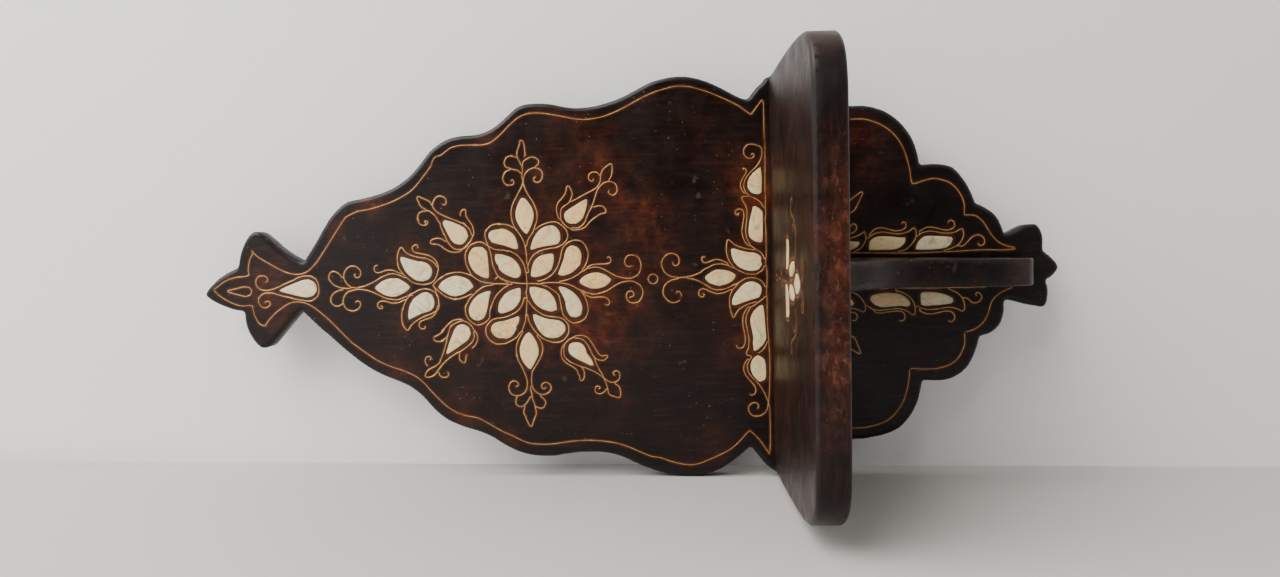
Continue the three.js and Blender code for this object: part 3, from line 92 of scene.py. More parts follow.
BORDER = {
    "UL": [2,343.6,-0.8,341.6,-3.6,338.5,-6.8,334,-10.1,327.9,-12,322.7,-12.3,319.2,-11.9,314.4,-12.1,313,-13.1,311.2],
    "UL2": [-12.2,312.1,-19.8,310.8,-24.9,308.6,-26.7,307.4,-28.1,305.9,-29,304,-29.3,302],
    "UL3": [-29.1,302.2,-24.7,298.8,-18.8,292.9,-13.9,286,-11.8,282.4,-10.3,277.8,-10.2,272.9,-10.7,269.5,-12.5,264.9,-14.3,261.9,-16.8,258.5,-26.2,248.2,-41,234.4,-46,229.4,-59.1,212.2,-61.6,208,-65.6,199.8,-69.4,189.3,-71.4,184.8,-75.8,176.9,-82.1,170.3,-87,166.3,-95.8,158.3,-100.6,153.3,-103.1,149.9,-105.7,145.7,-107.6,141.3,-108.9,137.2,-110.1,131.1,-111.6,126.4,-122.7,107.8,-126.3,100.2,-130.6,92.2,-132.9,86.4,-134,80.2,-134.3,67.6,-132.4,50.2,-131.9,36.3,-132.9,24.4,-134.1,16.8,-135.2,12,-137.5,5.4,-140.2,-1,-144.1,-9.2,-146.9,-16.4,-147.9,-22.6,-150.9,-30.5,-153.4,-39.2,-154.5,-46.1,-154.6,-48.9,-153.9,-53.8,-152.5,-58.4,-143.5,-78.9,-138.6,-85.7,-133.7,-90.7,-128.5,-95.4,-126.8,-97.6],
    "UL4": [-127.3,-97.7,-130.2,-100.9,-134.9,-105.1,-147.2,-113.4],
    "UB": [-147,-112.9,-142.8,-113.7,-137.3,-114.1,-109.2,-114.2,-103.7,-113.4,-91.8,-114.4,-65.9,-115,-35.2,-113.6,-19,-113.8,-12.8,-113.4,-4.4,-114.1,4.7,-114.1,11.7,-113.2,17.9,-113.8,38.2,-114,45.9,-113.5,51.5,-114.2,57.1,-113.8,63.4,-114.1,70.4,-113.9,104.7,-114.5,113.1,-114.1,138.3,-114.1,142.5,-113.7],
    "UR": [143.3,-113,141.8,-111.5,133.5,-105.1,132,-103.6],
    "UR2": [132.4,-105,132.5,-103.6,132.9,-102.3,138,-95.6,140.3,-92.1,144.8,-83.4,149.2,-73.8,152.1,-66.7,155.3,-56.7,156.1,-52.6,156.6,-47,156.5,-43.5,155.9,-39.3,153.2,-28.5,150.6,-21.2,148.1,-15.4,139.9,0.8,136.6,8.6,134,16.6,132.9,22.8,132.2,29.7,132.3,33.9,132.8,38.8,136.1,53.8,138.4,66.9,138.6,74.6,138,78.8,136.1,84,133.9,87.6,130.8,91.4,120.7,102.1,117.3,106.5,115.6,109.6,114.8,112.3,114.2,116.4,114.4,131.8,113.8,137.4,112.8,140.7,111.6,143.3,106.8,150.2,106,153.6,105.4,154.8,103.2,156.6,98.7,158.4,96.9,159.5,82.9,171.2,80,174.2,77.8,176.9,73.6,184.2,70.9,189.9,68.7,195.8,64.9,209.3,62.9,221,59,230,57.6,231.5,51.4,236.1,23.3,255.8,17.2,261.6,15.4,263.8,14.1,266.2,13,269.5,12.7,274.4,13.6,279.2,15.2,283.8,18.5,290.1,26.9,303.7,29.1,306.5,33.2,310.3],
    "UR3": [32.6,309.1,30.6,309.6,26.2,312,20.7,313.5,17.2,313.9,13,313.4],
    "UR4": [13.2,313.4,12.5,315.3,12.1,317.4,11.6,324.3,9.8,331.1,7.7,335.4,4.1,340.6,2.3,343.6],
    "LL": [-126.9,-181,-127,-190.8,-126.1,-196.3,-124.5,-203.2,-121.9,-209.7,-119.6,-213.1,-117.3,-215.8,-114.7,-218.2,-110.2,-221.5,-106.5,-223.5,-103.3,-224.9,-97.9,-226.6,-92.5,-227.9,-87,-228.9,-80,-229.3],
    "LL2": [-79.2,-230,-78.7,-232.7,-79.4,-238.3,-79.5,-249.4,-78.8,-254.3,-77.8,-258.4,-76.6,-261.6,-75.4,-264.1,-72.8,-267.4,-70.2,-269.7,-67.8,-271.2,-63.4,-273.2,-60.7,-274.1,-58,-274.5,-51,-274.5],
    "LL3": [-50.1,-274.9,-47.8,-282.2,-46.1,-285.2,-44,-288,-41.4,-290.3,-39,-291.8,-33.8,-294,-27.1,-295.9,-22.9,-298.4,-20.5,-300.9,-18.1,-304.4,-16.3,-308.2,-14.3,-313.4],
    "LR": [125.6,-184,125.7,-190.2,125.4,-195.1,124.8,-197.8,123,-203.1,121,-207.6,118.1,-212.4,115.6,-215.7,112.1,-219.2,110,-221,105.3,-224.1,98.4,-227.3,84.9,-231,75.2,-232.3,72.5,-233.1],
    "LR2": [72.4,-233,72.5,-235.8,74.6,-242.5,76,-250.8,74.2,-259,73.5,-261,72.2,-263.5,70,-266.2,67,-269.1,64.1,-271.1,60.4,-273.1,57.1,-274.3,54.4,-275,51.6,-275.1,46,-274.9],
    "LR3": [45.8,-275,45.4,-282,44.9,-284,43.8,-285.8,42,-288,39.5,-290.3,28.8,-297,24.6,-300.7,22.4,-303.4,20.5,-307.1,19.5,-309.7,18.1,-315.2],
    "SL": [-12.6,-182,-12.8,-188.3,-12.4,-195.3,-12.6,-209.3,-12.2,-217,-13.1,-252.1,-13.1,-266.8,-13.4,-278,-13.1,-285,-13.4,-292],
    "SR": [17.3,-182,17.5,-184.1,16.1,-229.5,16.2,-259.5,16.9,-282.5,16.9,-293.7,16.4,-307,16.8,-313.3,17.3,-316],
    "ring": [2.3,-17,0.9,-16.7,-0.5,-17,-2.2,-18.2,-3,-19.4,-3.2,-20.8,-2.9,-22.2,-1.6,-23.8,-0.3,-24.5,1.1,-24.7,2.4,-24.3,3.6,-23.5,4.6,-21.7,4.7,-20.3,4.2,-18.9,3.4,-17.8],
}
SCROLLS = [
    [-14.2,83.2,-15.2,81.9,-17.3,80.8,-21.8,76.9,-25.4,72.1,-26.5,70,-27.6,66.9,-28.7,59,-29.8,55.2,-31.1,53.2,-33.2,51.4,-34.9,50.4,-36.1,50,-40.9,50,-44.2,51.4,-46.4,53.1,-47.5,54.3,-49,57.1,-49.4,58.6,-49.4,62.2,-49,64.6,-46.5,70.5,-43.9,74,-37.8,79.2,-31.8,82.3,-29.1,83.1,-26.3,83.5,-24.6,84.5,-13,83.4,-11,83.5,-8.3,84.1,-7.1,84.1,-4.4,83.4,-2,83.1,7.2,83.4,9.9,83.7,13.4,84.5,16.1,85.4,19.6,87.3,22.5,89.5,23.3,90.3,24.5,91.9,26.7,96.2,27,98.2,27.7,100.8,27.9,103.6,28.4,107.6,29,109.5,30.4,111.9,31,113.4,31.9,114.2,32.4,115.3,33.9,117.2,34.5,118.2,35.2,122.5,34.8,124.1,34.7,124.9,34.3,125.6,34,125.5],
    [17.5,-63.9,17.7,-62.7,17.6,-62,17.4,-61.6,16.7,-61.2,15.5,-61.2,14.3,-61.5,13.7,-61.9,13.2,-62.5,12.9,-63.7,13,-65.3,15.3,-72.5,15.2,-74.1,14.3,-77.5,11.9,-82.1,10,-82.9,9.7,-83.2,8.4,-85.2,7.8,-87.5,6.2,-90.3,3.7,-95.3,2.7,-98.4,2.4,-101.1,2.4,-104.7,2.6,-105.9,3.2,-106.9,3.9,-107.9,4.8,-109.7,6.7,-111.2,8.9,-112.1,8.9,-113.6],
    [56.8,-113.8,56.7,-112.4,60.2,-110.5,62.2,-108.6,64,-105.9,66.2,-100.8,67.2,-100.3,68.9,-98.5,70.7,-97.6,72.5,-96.9,74.5,-96.7,78.1,-97.3,79.5,-97.9,81.9,-99.4,84.4,-101.4,87.9,-105.2,90.2,-107.5,92.5,-109.1,95.2,-110.7,99.4,-112,102.6,-112.1],
    [9.1,234.6,9.1,236.2,11.1,237.5,12.5,238.9,13.6,240.6,14.1,242.1,14.3,243.3,13.6,245.1,12.4,246.2,10.6,247,8.6,247.1,7.5,246.7,6.8,246.3,3.9,244.1,2.9,242.9,1,238.9,0.2,235.4,-0.2,230.6,0.6,228.3,-0.1,224,0.5,222.5,1.1,219,2.2,215.5,4.5,210.4,6.9,205.8,8.6,203.1,8.6,202.7,10.5,197.9,11,194.3,11,193.1,10.3,190.4,9.1,187.1,7.7,184.6,7.2,182.3,4,178.7,2.3,174.7,1.3,169.1,1.7,165.2,2.1,163.6,3.1,161.4,4.3,159.9,7.7,157.8,10.7,156.7,12.3,156.4,13,156,15.8,156,17.4,156.2,19.9,157.3,21.3,158.2,23,159.8,24.4,161.8,25.1,163.2,26.2,167.1,27.6,173.3,27.6,173.7,28.5,175.4,29.4,176.2,30.5,176.7,32.1,176.7,32.8,176.4,34,174.8,34.2,173.3,33.6,172.3,33.2,172.1,32.4,172,31.7,172.5],
    [5.9,105.6,5.7,105.8,5,105.4,3.6,103.5,3.4,102.3,1.6,97.4,0.4,91.1,-0.1,86.3,-0.4,76.7,-0.9,73.6,-0.8,71.6,-0.1,69.7,-0.1,66.1,0.1,63.7,-0.2,57.3,-0.9,52.6,-1.5,50.3,-1.7,49.1,-2.8,46.5,-4,44,-5.6,41.7,-6.2,40.2,-7,38.8,-7.3,37.7,-8.7,34.8,-9.5,32.5,-10.4,29,-10.3,26.6,-9.8,23.5,-8.5,18.9,-7.7,17,-4,10.9,-1.3,5.1,-0.4,-0.1,-0.4,-1.7,-0.6,-3.6,-1.3,-5.5,-2.8,-8.3,-3.8,-9.6,-5,-10.6,-8.4,-12,-11.9,-12,-15.6,-10.3,-17.6,-8.4,-18.3,-6.5,-18.6,-4.2,-18.4,-2.6,-17.8,-1.1,-17.1,-0.1,-15.5,1.1,-14,1.6,-12,1.5,-10.1,0.8,-9.3,0,-8.8,-1.1,-8.9,-3.1,-9.2,-3.8,-10.2,-4.4,-12.1,-4.7,-12.8,-4.4,-13.1,-4.1,-13.6,-1.8,-14.4,-1],
    [-7,306.4,-5.8,306.7,-5.3,305.7,-3.6,304,-2.4,301.9,-2.2,300.7,-2.1,296.7,-2.5,293.6,-4,289.4,-5.7,283.3,-6.1,281.3,-6.9,278.7,-7.6,277.2,-8,274.4,-8.6,272.5,-8.7,269.7,-9.2,268.6,-9.5,267.1,-9.6,263.1,-8.5,260.5,-6,257.4,-3.5,256.2,0,255.7,3.6,256.1,7,257.3,9.1,259.1,10.2,260.8,10.8,262.3,11.1,264.2,11.1,267.4,10.7,270.2,9.6,273.6,7.6,277.1,7,279.4,2,291.1,0.5,296.1,-0.1,300.1,0,300.4,0.8,304,1.6,305.3,3.6,307.3,5.4,308,7.4,308.1,9.4,307.6,10.7,306.7],
    [51.8,53.3,57.4,53.4,60.1,52.7,61.1,52,62.1,50.8,64.5,47,65.3,46.2,68.8,44.2,70.3,43.7,72.3,43.4,74.6,43.9,78.2,45.6,78.7,46.2,78.6,47,78.5,47.4,77.8,47.8,73.5,48.7,72.1,49.4,69.2,51.6,66.3,54.4,64.3,55.7,62.4,56.3,60.1,56.7,56.5,56.3,52.7,55,51.4,53.5,48.4,51.5,46.1,49.3,44.9,47.7,43.8,45.5,42.8,44.2,42.7,43.9,42.7,40.7,43.1,38.7,43.3,36.7,45,33.5,50.1,28.5,53.5,23.6,55.4,20,55.7,17.7,56,16.9,56.9,16.2,57.3,16.1,58.5,16.4,60.2,17.4,61.3,19,61.7,20.2,61.9,21.4,61.6,23.8,61,25.7,61.3,27.2,61.4,27.7],
    [-30.4,187.4,-30.6,187.7,-31.4,187.5,-34.4,185.7,-35,185.1,-35.9,184.5,-36.1,184.2,-36.2,183.4,-35.4,182.5,-32.1,180.3,-29,176.6,-27,173.2,-25.6,170.3,-24.4,167.3,-23.9,165.4,-22.8,162.8,-21.1,159.7,-19.6,157.7,-17.5,156.7,-16.3,156.5,-11.1,156.9,-10,157.2,-8.8,157.2,-6.6,158.2,-5.5,159.4,-3.7,162,-2.7,164.6,-2.2,167.4,-2.5,170.1,-3.4,173.6,-5.5,177.5,-6.2,179.8,-7.1,181,-9,181.8,-10.2,182.9,-10.8,183.9,-11.3,186.2,-12.9,189.5,-13.3,194.7,-13,196.6,-11.5,201.2,-11.4,204,-11.6,205.2,-12.2,206.2,-13,207.1,-13.7,207.5,-14.8,207.6,-16,207.4,-16.3,207.1,-17.2,206.3,-17.5,205.6,-17.5,204,-16.9,203.5,-16.5,203.5,-15.8,203.9,-15.2,204.9],
    [87.2,73,86.5,73.4,86.3,74.1,86,74.4,84.5,74.6,83.7,74.3,83.1,73.7,82.7,73.1,82.4,71.9,82.7,70.3,83,69.6,85,68.2,86.8,67.5,89.2,67.2,91.1,67.8,92.7,69,93.6,70.7,94.3,73.4,94.2,74.6,92.6,78.7,90.3,81,87.9,82.3,85.2,83.1,82,83.5,77.7,85.6,68,91.1,64.3,92.8,60.5,93.8,58.5,94,55.7,94.1,53.7,93.7,51.4,93.5,46.1,91.7,44,90.5,42.9,89.4,40.9,88,36.8,85.6,31.5,83.7,21.2,82.5,16.8,82.6,16,82.4,15.5,81.8,15.3,81.5],
    [12.2,-3.5,11.5,-2.5,11.4,-1.3,11.7,-0.2,12.3,0.9,13.2,1.6,13.9,1.9,15.1,2.1,16.7,2,18.5,1.2,20.3,-0.4,20.8,-2.3,20.7,-5.5,19.3,-8.4,18.5,-9.3,17.5,-9.9,14.1,-11.1,10.9,-11.1,9.8,-10.9,7.1,-10,5,-8.8,3.6,-6.9,2,-3.2,1.9,0.8,3.3,7.5,4.9,11.1,8.8,17.7,10.6,21.2,11.4,23.5,11.8,25.9,11.5,29.4,10.5,33.7,10.2,34.4,9.1,35.7,8.2,37.9,5.8,41.1,5,42.9,3.9,44.6,2,49.9,1.3,53,0.9,55.7,0.7,56.1,0.1,56.6,-0.3,56.6],
    [94.2,73,94.6,73.1,95.6,72.5,96.5,71.1,97.1,70.6,98.6,70,99.4,70,100.8,70.6,101.9,71.8,102.7,73.2,103,74.8,103.1,76,102.7,77.5,101.7,79.7,100.4,81.7,99.2,82.8,97.3,83.2,96.2,83.7,92.2,83.5,89.9,84,87.1,84.1,84.8,83.4,82,83.2,74.8,80.8,67.3,76.3,64.4,74.9,61,73.7,58.7,73,57.1,72.9,54.7,72.9,51.1,73.2,45.5,75.4,44,75.8,41.8,76.7,39.9,78.2,35.9,80.9,31.3,82.2,31,82.4,30.6,83.1,30.7,83.6],
    [57.1,135.8,57.8,136.1,58.6,136,60.7,135,62,133.5,62.2,132.3,62,131.9,61.7,131.7,61,131.4,57.4,131.4,56.2,131.1,49.8,127,48.4,126.3,44.1,125.4,41.7,125.5,40.9,125.7,40,126.5,36.7,127.9,33.6,130.5,32.2,131.2,30.6,133,29.4,135.5,28.1,137,27.2,140.1,27.4,143.7,28,146,30,149.5,31.4,151.5,32,151.9,33.7,154.7,34.2,156.2,34.4,159.4,35,161.3,35.7,161.7,36.1,161.7,37.4,161,38.3,159.6,39.1,156.5,39.1,154.5,38.8,153.3,38.1,151.5,36.7,149.5,36.3,148.4,36.8,147.6],
    [-7.8,177.8,-7.3,178.4,-7.1,179.2,-7.8,180.6,-7.7,181.8,-8.1,183.4,-10.3,189.4,-10.6,190.9,-10.6,193.3,-10,196.1,-9.8,198,-8.7,201.5,-7.4,203.9,-4.2,210.4,-2.2,215.6,-1.2,221.1,-1.2,223.5,-1.8,227.4,-2.7,230.9,-3.2,232,-4.3,233.2,-5.4,234.3,-7.2,235.3,-10.3,236.1,-12.2,236.1,-15.2,234.9,-17.4,233.1,-18,232.1,-18.6,230.2,-18.9,228.2,-18.8,227,-18.1,225.2,-17.1,223.5,-14.7,222,-13.6,221.8,-12.4,221.9,-11.5,222.2],
    [-52.6,55.1,-51.9,54.8,-50.9,53.6,-47.8,50.4,-47,49.1,-45.7,46.1,-44.8,44.9,-44.2,40.1,-45,36.6,-46.1,34.5,-47.3,33.4,-51,31,-58.6,26.7,-60.5,25.2,-61.6,23.6,-61.6,21.6,-61.2,19.6,-61.7,18.6,-62.9,18.6,-64.3,20,-65.3,21.8,-65.3,24.9,-64.8,26.4,-63.3,28.8,-61.5,30.4,-53.1,34.2,-50.8,35.7,-49,37.3,-47.9,38.5,-46.9,40.6,-46.4,42.9,-46.3,44.9,-46,45.7],
    [-0.4,98.5,-0.8,98.5,-1.7,99.2,-3.2,102.1,-5.7,105.2,-8.1,107.8,-10.7,109.8,-14.6,111.8,-21.3,114.4,-26.8,115,-29,116,-30.6,117.8,-31.5,119.1,-32.9,121.9,-33.3,123.5,-33.3,125.9,-33,127,-30.2,130.9,-27.4,133.1,-24.8,134.3,-22.1,134.8,-18.1,134.8,-17.3,134.6,-15,133,-12.8,132.1,-8.2,127.7,-3.8,122.6,-3.5,121.9],
    [-12,83.4,-12.1,85.7,-14.4,86.4,-18,88,-20.6,89.8,-23.2,92.4,-25.4,96.6,-27.3,101.9,-28.1,106.2,-28.2,109,-29.4,112.8,-30.3,114.1,-31.4,115.3,-33.6,117.1,-35.2,118.2,-36.8,118.6,-41.1,118.4,-43,117.7,-44.7,116.7,-46.2,115.4,-47.9,113.2,-49.2,111.1,-49.6,109.6,-49.5,104.4,-48.8,101.3,-47.1,97.6,-46,95.6,-44.1,93,-40.9,90.5,-39.3,88.8,-39.2,88.3],
    [8.5,83.5,9.1,81.4,10.3,81.4,12.7,81.9,15,81.6,19.8,79.4,21.4,78.3,23.4,76.4,25.2,73.7,26.8,70,28.3,62.6,28.5,59.4,29.3,56.3,30.1,54.5,31.4,52.4,33.5,50.1,35.2,49,37.5,48.2,40.2,48.3,42.1,48.9,43.5,49.7,45.6,51.6,47.2,53.4,49.5,57.1,49.8,61.1,48.9,65.4,47.4,69.5,46,71.9,44.4,74.2,44.1,75.4,44.3,75.7],
    [8.5,37.1,8.9,37.4,10,37,12.6,35.2,16.1,33.3,21.2,32,24.7,32.1,29.2,33.7,30.9,34.8,32.4,36.1,33.3,37.4,34.2,40.1,34.3,43.3,33.6,46,32.6,48.1,30.6,50.7,28.4,52.4,25.9,53.5,21.2,54.6,15.1,56.5,10.8,58.7,6.8,62,5.8,63.2,4.3,65.6,3,68.1,1.7,72.3,1.7,73.5,1.8,74.6],
    [-0,110.8,0.5,111.1,1,112.2,1.3,115.7,2.4,120.4,4.7,124.6,7.5,128.5,9.7,134,10.3,136,10.6,137.9,10.6,142.3,10,146.3,9.5,148.6,8.9,150.1,8.4,150.7,7.8,152.2,6.7,153.4,5.5,155.9,1.4,160.2,0.7,160.7,0.4,160.9,-1.1,159.6,-3.2,158.4,-4,157,-7.1,153.4,-8.2,151.3,-9.4,149.7,-10,148.2,-11.8,142.9,-11.5,141.8],
    [10.5,-82.7,10.4,-82.4,10.5,-80.8,11.3,-78.5,11.5,-76.1,11.3,-72.5,10.8,-70.2,10.3,-69.1,9.1,-67,7.1,-62.2,5.7,-60.8,4.8,-59.5,2.9,-54.3,2.2,-52,2,-49.2,1.4,-47.3,1.2,-42.5,0.2,-40.3,-0.6,-36,-2.5,-32.5,-4.5,-30.5,-6.2,-29.5,-7.3,-29.1,-10.5,-28.7,-12.4,-29,-13.9,-29.6,-17,-32.1,-18.2,-33.7,-19,-35.5,-19.2,-37.5,-18.8,-39.8,-18.2,-40.9,-17.3,-42.2],
    [-7.4,38.8,-8.4,38.3,-11,36.4,-16.5,34.2,-18.9,33.7,-21.3,33.4,-23.3,33.4,-24.8,33.6,-29.6,35.7,-31.3,37.4,-32.9,40.6,-33.8,44.1,-33.8,45.7,-32.9,47.9,-31.5,49.9,-30.7,50.8,-27.4,53.6,-25.9,54.3,-22.8,55.1,-20.1,55.6,-17.3,55.7,-15,56.3,-13,56.5,-10.7,57.3,-9.7,57.9,-7.4,60.1,-4.4,64.3,-2.8,67.1,-1.7,70.5,-1.1,71.1,-0.6,71.2],
    [43.6,45.3,44,45.2,44.4,43.6,44.3,40,45.6,37.1,46.8,35.5,47.7,34.7,50.4,33.1,54.2,31.6,56.7,30.4,61.9,27.4,73.9,23.1,76.3,21.7,78.4,19.8,80.4,17.2,81.4,13.8,81.3,12.2,80.3,9.2,79,7.7,76.4,6.7,74.4,6.5,72.9,6.9,72.1,7.3,70.9,8.3,70.5,9,70.2,10.1,70.4,11.3,71.5,12.9,72.4,13.7,73.6,13.6,73.9,13.4,74.1,13.1],
    [-38,127.9,-38.3,128.3,-39.4,128.6,-42.6,128.4,-44.9,129,-47.1,130.1,-49.3,132.4,-54.9,140.2,-55.7,142.4,-57.3,145.2,-58.7,147.6,-62,152.1,-65.6,155.8,-71.8,160.9,-73.1,161.8,-74.6,163.7,-75.5,166.3,-75.8,169.1,-75.5,170.2,-74.8,170.6,-74.4,170.6,-74,170.5,-71.1,169.1,-70.3,168.3,-68.4,165.7,-67.5,163.5,-67.2,162.4],
    [-88.4,9.4,-87.5,10.1,-86.8,10.4,-85.6,12.5,-85,13,-83.7,13.1],
    [-83.9,14.9,-83.8,16.1,-83.7,16.9,-82.8,18.7,-75.5,28.2,-72.5,34.3,-70.9,37.9,-70.6,39.9,-69.8,41.3,-67.6,46.5,-66.2,49.3,-65.3,50.6,-63,52.9,-60.6,54.3,-58.2,54.6,-53.9,54.4,-52.9,55.1],
    [-88.4,66.3,-89.5,67,-90.5,67.7,-92.3,70.8,-92.6,71.9,-92.4,75.1,-91.4,77.3,-89.7,79.4,-88.1,80.6,-84.7,82,-78.8,82.1,-73.6,81.4,-70.8,79.8,-65.8,76.5,-60.7,73.5,-56.1,72.1,-53.7,71.9,-50.2,72.6,-47.6,73.7,-43.6,76.3,-42.3,75.3],
    [51.8,-90.5,52.3,-91.1,52.4,-91.9,52.1,-92.2,51.4,-92.1,51,-91.9,51.1,-90.7,51.8,-89.7,52.9,-89.2,53.7,-89.3,54.4,-89.7,55.2,-90.5,55.8,-91.6,55.8,-93.6,55.6,-94.3,54.6,-95.6,53.5,-96.1,50.7,-96.4,48.7,-96.3,38.1,-94.4,35.3,-94.7,32.6,-95.3,28.9,-96.9,27.3,-98.1,26.2,-99.3,25.7,-100.3,26,-101.1,25.8,-101.4,21.9,-106.5,20.2,-109.2,17.3,-111.3,16.2,-111.8,14.6,-112.2,14.6,-113.5],
    [-0.4,98.5,3.5,101.9,6.6,106.6,10.4,108.8,14.5,110.3,17.2,111,26,112.2,31.7,114,33.6,114.5,35.8,115.5,39.7,116.3,41.3,116.2,44.4,115.6,45,115.1,45.9,113.8,47.3,112.4,48.4,110.6,49,108.7,49.6,104.8,49.6,103.2,49.3,102.5],
    [65.9,45.7,66.3,43.7,72.4,31.2,74.9,26.2,76.9,23.2,79.4,21.2,82,20.1,83.2,19.9,86,19.8,90.5,18.2,92.3,16.6,95.5,12.1,95.7,10.9,95.1,10.4,94,10.1,90.8,10.1,86.1,10.9,84,12,83,12.8,81.9,13.1,81.4,13.1],
    [-55.6,-88.2,-56.7,-88,-57.7,-88.6,-58.2,-89.7,-58.3,-91.6,-58,-92.4,-57.3,-93.4,-56,-94.3,-54.5,-94.9,-51,-95.3,-45.8,-94.8,-40.3,-93.7,-34.7,-93.6,-31.2,-94.1,-27.6,-95.9,-25.9,-97,-25,-97.8,-24.5,-98.9,-24.2,-101.3,-22.3,-104.7,-21.2,-105.9,-20.6,-107,-18.5,-109.9,-16.3,-112.1,-16.2,-113.6],
    [-21.2,-105.8,-20.8,-105.4,-20.5,-103.8,-21.2,-102,-21.6,-100,-22.3,-97.7,-24.1,-94.2,-26.5,-90.5,-28.6,-88.7,-32.5,-86.6,-32.9,-86,-32.8,-85.6,-27.5,-84,-22.8,-83.2,-19.2,-83.1,-15.2,-83.5,-14.1,-83.8,-10.1,-85.7,-5.5,-90.2,-4.8,-90.6,-4.5,-90.4],
    [14,-37.5,13.2,-37.3,12.4,-37.5,11.8,-37.9,11.4,-38.6,11.2,-39.8,11.4,-40.6,11.8,-41.3,12.3,-41.8,13.4,-42.3,15.4,-42.6,17.8,-42.1,19.2,-41.3,20,-40.5,21.3,-37.2,21.3,-35.6,20.5,-32.9,18.1,-30.2,15.8,-28.6,13.1,-27.9,10,-28.6,7.4,-29.6,6,-30.4,3.3,-33.9,2,-37.2,1.6,-40.4,1.2,-41.5,0.8,-41.7],
    [-70.5,40.2,-73,38.8,-74.5,38.3,-75.7,38.2,-78.5,38.3,-80,38.8,-81,39.3,-81.7,40.3,-81.8,41.1,-81.6,41.5,-81.1,42,-77.9,42.3,-76.1,43.3,-73.1,44.3,-70.4,47.3,-66.5,53.3,-64.1,55.4,-62.3,56.3,-60.8,56.8,-56.8,56.7,-55.6,56.5,-53.8,55.8,-53.3,55.2,-53.1,54.1,-51.6,53.6,-51.3,54],
    [-33,169,-34.2,168.7,-34.6,168.9,-35.1,169.4,-35.3,171,-35.2,172.2,-35,172.5,-33.7,173.5,-32.6,173.8,-31,173.6,-30,173,-28.8,171.9,-28.2,170,-27.7,169,-27,166.3,-26.1,164,-25.5,162.6,-24.2,161,-22.7,159.7,-21.2,159.1,-20.2,158.6,-18.6,158.4,-15.8,156.9,-15.4,156.8,-11.4,156.8,-10.3,157.1,-9.5,157,-8.6,157.7,-6.8,158.5,-1.6,159.4],
    [23,-105,26.2,-100.9,27.4,-100.5,30.9,-98.7,34.8,-97.7,40.8,-97.7,47.1,-98.6,50.3,-98.9,55.5,-98.8,58.5,-97.9,63.4,-95.2,65,-94.9,65.4,-95.1,65.8,-95.7,66,-96.9,66,-99.7,66,-100.1,66.6,-100.5],
    [-65.6,-100.3,-69.6,-97.7,-72.5,-96.3,-73.7,-96.3,-77.6,-97,-79.8,-98.1,-82.1,-99.8,-87.7,-104.9,-89.9,-106.6,-96.1,-110.2,-101.3,-112.2],
    [22.7,-104.9,22.3,-104.3,22.2,-103.5,22.8,-101.6,23.3,-98,24.8,-93,26.8,-88.6,30.7,-84.1,31.1,-83.3,31,-82.6,29.8,-82.2,24.7,-81.4,21.9,-81.4,18.7,-81.9,15.6,-82.8,13.8,-83.6,11.7,-84.8,7.5,-88],
    [69.5,160.9,68.6,160.2,67.1,159.5,66.3,158.7,64.4,158,62.7,157,60.2,154.4,58.1,151,55.6,145.6,52.7,138.6,51.3,135.7,50.8,133,50.2,132.4,48.8,131.6,47.2,129.8,46.8,129.8,45,128.3],
    [-5.8,-89.2,-5.4,-88.5,-5.6,-87.4,-7.2,-84.5,-9,-79.7,-9.6,-75.7,-9.6,-72.5,-8.9,-69.8,-8.3,-68.3,-4.1,-62,-2,-58.1,-0.5,-54.3,0.7,-49.3,1.3,-48.2,1.7,-48.2],
    [0.3,229,0.8,229.2,1.5,229.7,3.2,231.8,5.2,233.2,7.3,234.3,8.5,234.6,10.5,234.6,12.8,234.1,15.2,232.7,16.6,231.4,17.3,230.4,18.1,228.5,18.1,224.9,17.8,224.2,17.2,223.2,15.5,221.5,14.1,220.7,12.1,220.4,11,220.6,9.9,221.1,8.8,222.2,8.5,223,8.5,223.4,9,224.5,9.7,225.4,10.4,225.9,11.1,225.9,11.6,224.9],
    [34.6,119.2,35,119.2,35.3,120,34.9,120.7,35,121.5,34.7,123.5,34.1,124.9,33.8,126.5,33.1,127.9,31.2,130,29.6,131.2,27.2,132.6,25.3,133.2,20.9,133.3,17.8,132.8,15.1,132,10,129.6,8.1,129,6.7,127.1,6.4,126.8],
    [-10.2,-85.7,-9.8,-85.4,-9.8,-83.8,-11.1,-81.4,-12.2,-78.4,-12.8,-73.6,-12.6,-72.1,-12,-70.2,-10.6,-66.8,-9,-63.7,-8.6,-62.5,-8.5,-61.4,-8.7,-60.2,-9.3,-59.1,-10.1,-58.3,-11.3,-58,-13.3,-58,-14.2,-58.7,-15,-59.6,-15.2,-60.4,-15.1,-61.1,-14.1,-62.3,-13.3,-62.5,-12.9,-62.4,-12.6,-60.9],
    [-65.6,-100.3,-64.5,-98.7,-64.6,-97.9,-64.3,-96.7,-63.8,-96.1,-63,-95.9,-61.8,-96.1,-57.8,-97.8,-52.6,-98.4,-48.2,-98,-36.8,-96.1,-32.8,-96.4,-30.8,-96.9,-28.3,-98.1,-26.3,-99.4,-24.9,-100.1,-24.4,-100.1],
    [-4.5,316.7,-3.4,313.7,-2.5,312.9,-1.1,312.2,0.5,312.1,1.9,312.8,2.7,313.7,3.2,314.7,3.4,319.5,2.1,325.3,1.8,327.3,1.2,328.8,1.1,331.2,0.7,331.9,0.3,331.9,0,331.8,-0.5,331.1,-2,326.6,-3.6,320.9],
    [17.5,189.2,18.2,189.5,19.8,189.4,22.2,189.6,25.8,189.3,28.1,188.7,31,187.4,32,186.7,32.4,186.1,32.3,185.3,32.1,185,29.4,183.3,27.7,181.6,26.1,178.8,24.4,173.9,23.5,170,23.3,168.5,22.8,167,22.8,166.6,23.2,166.5],
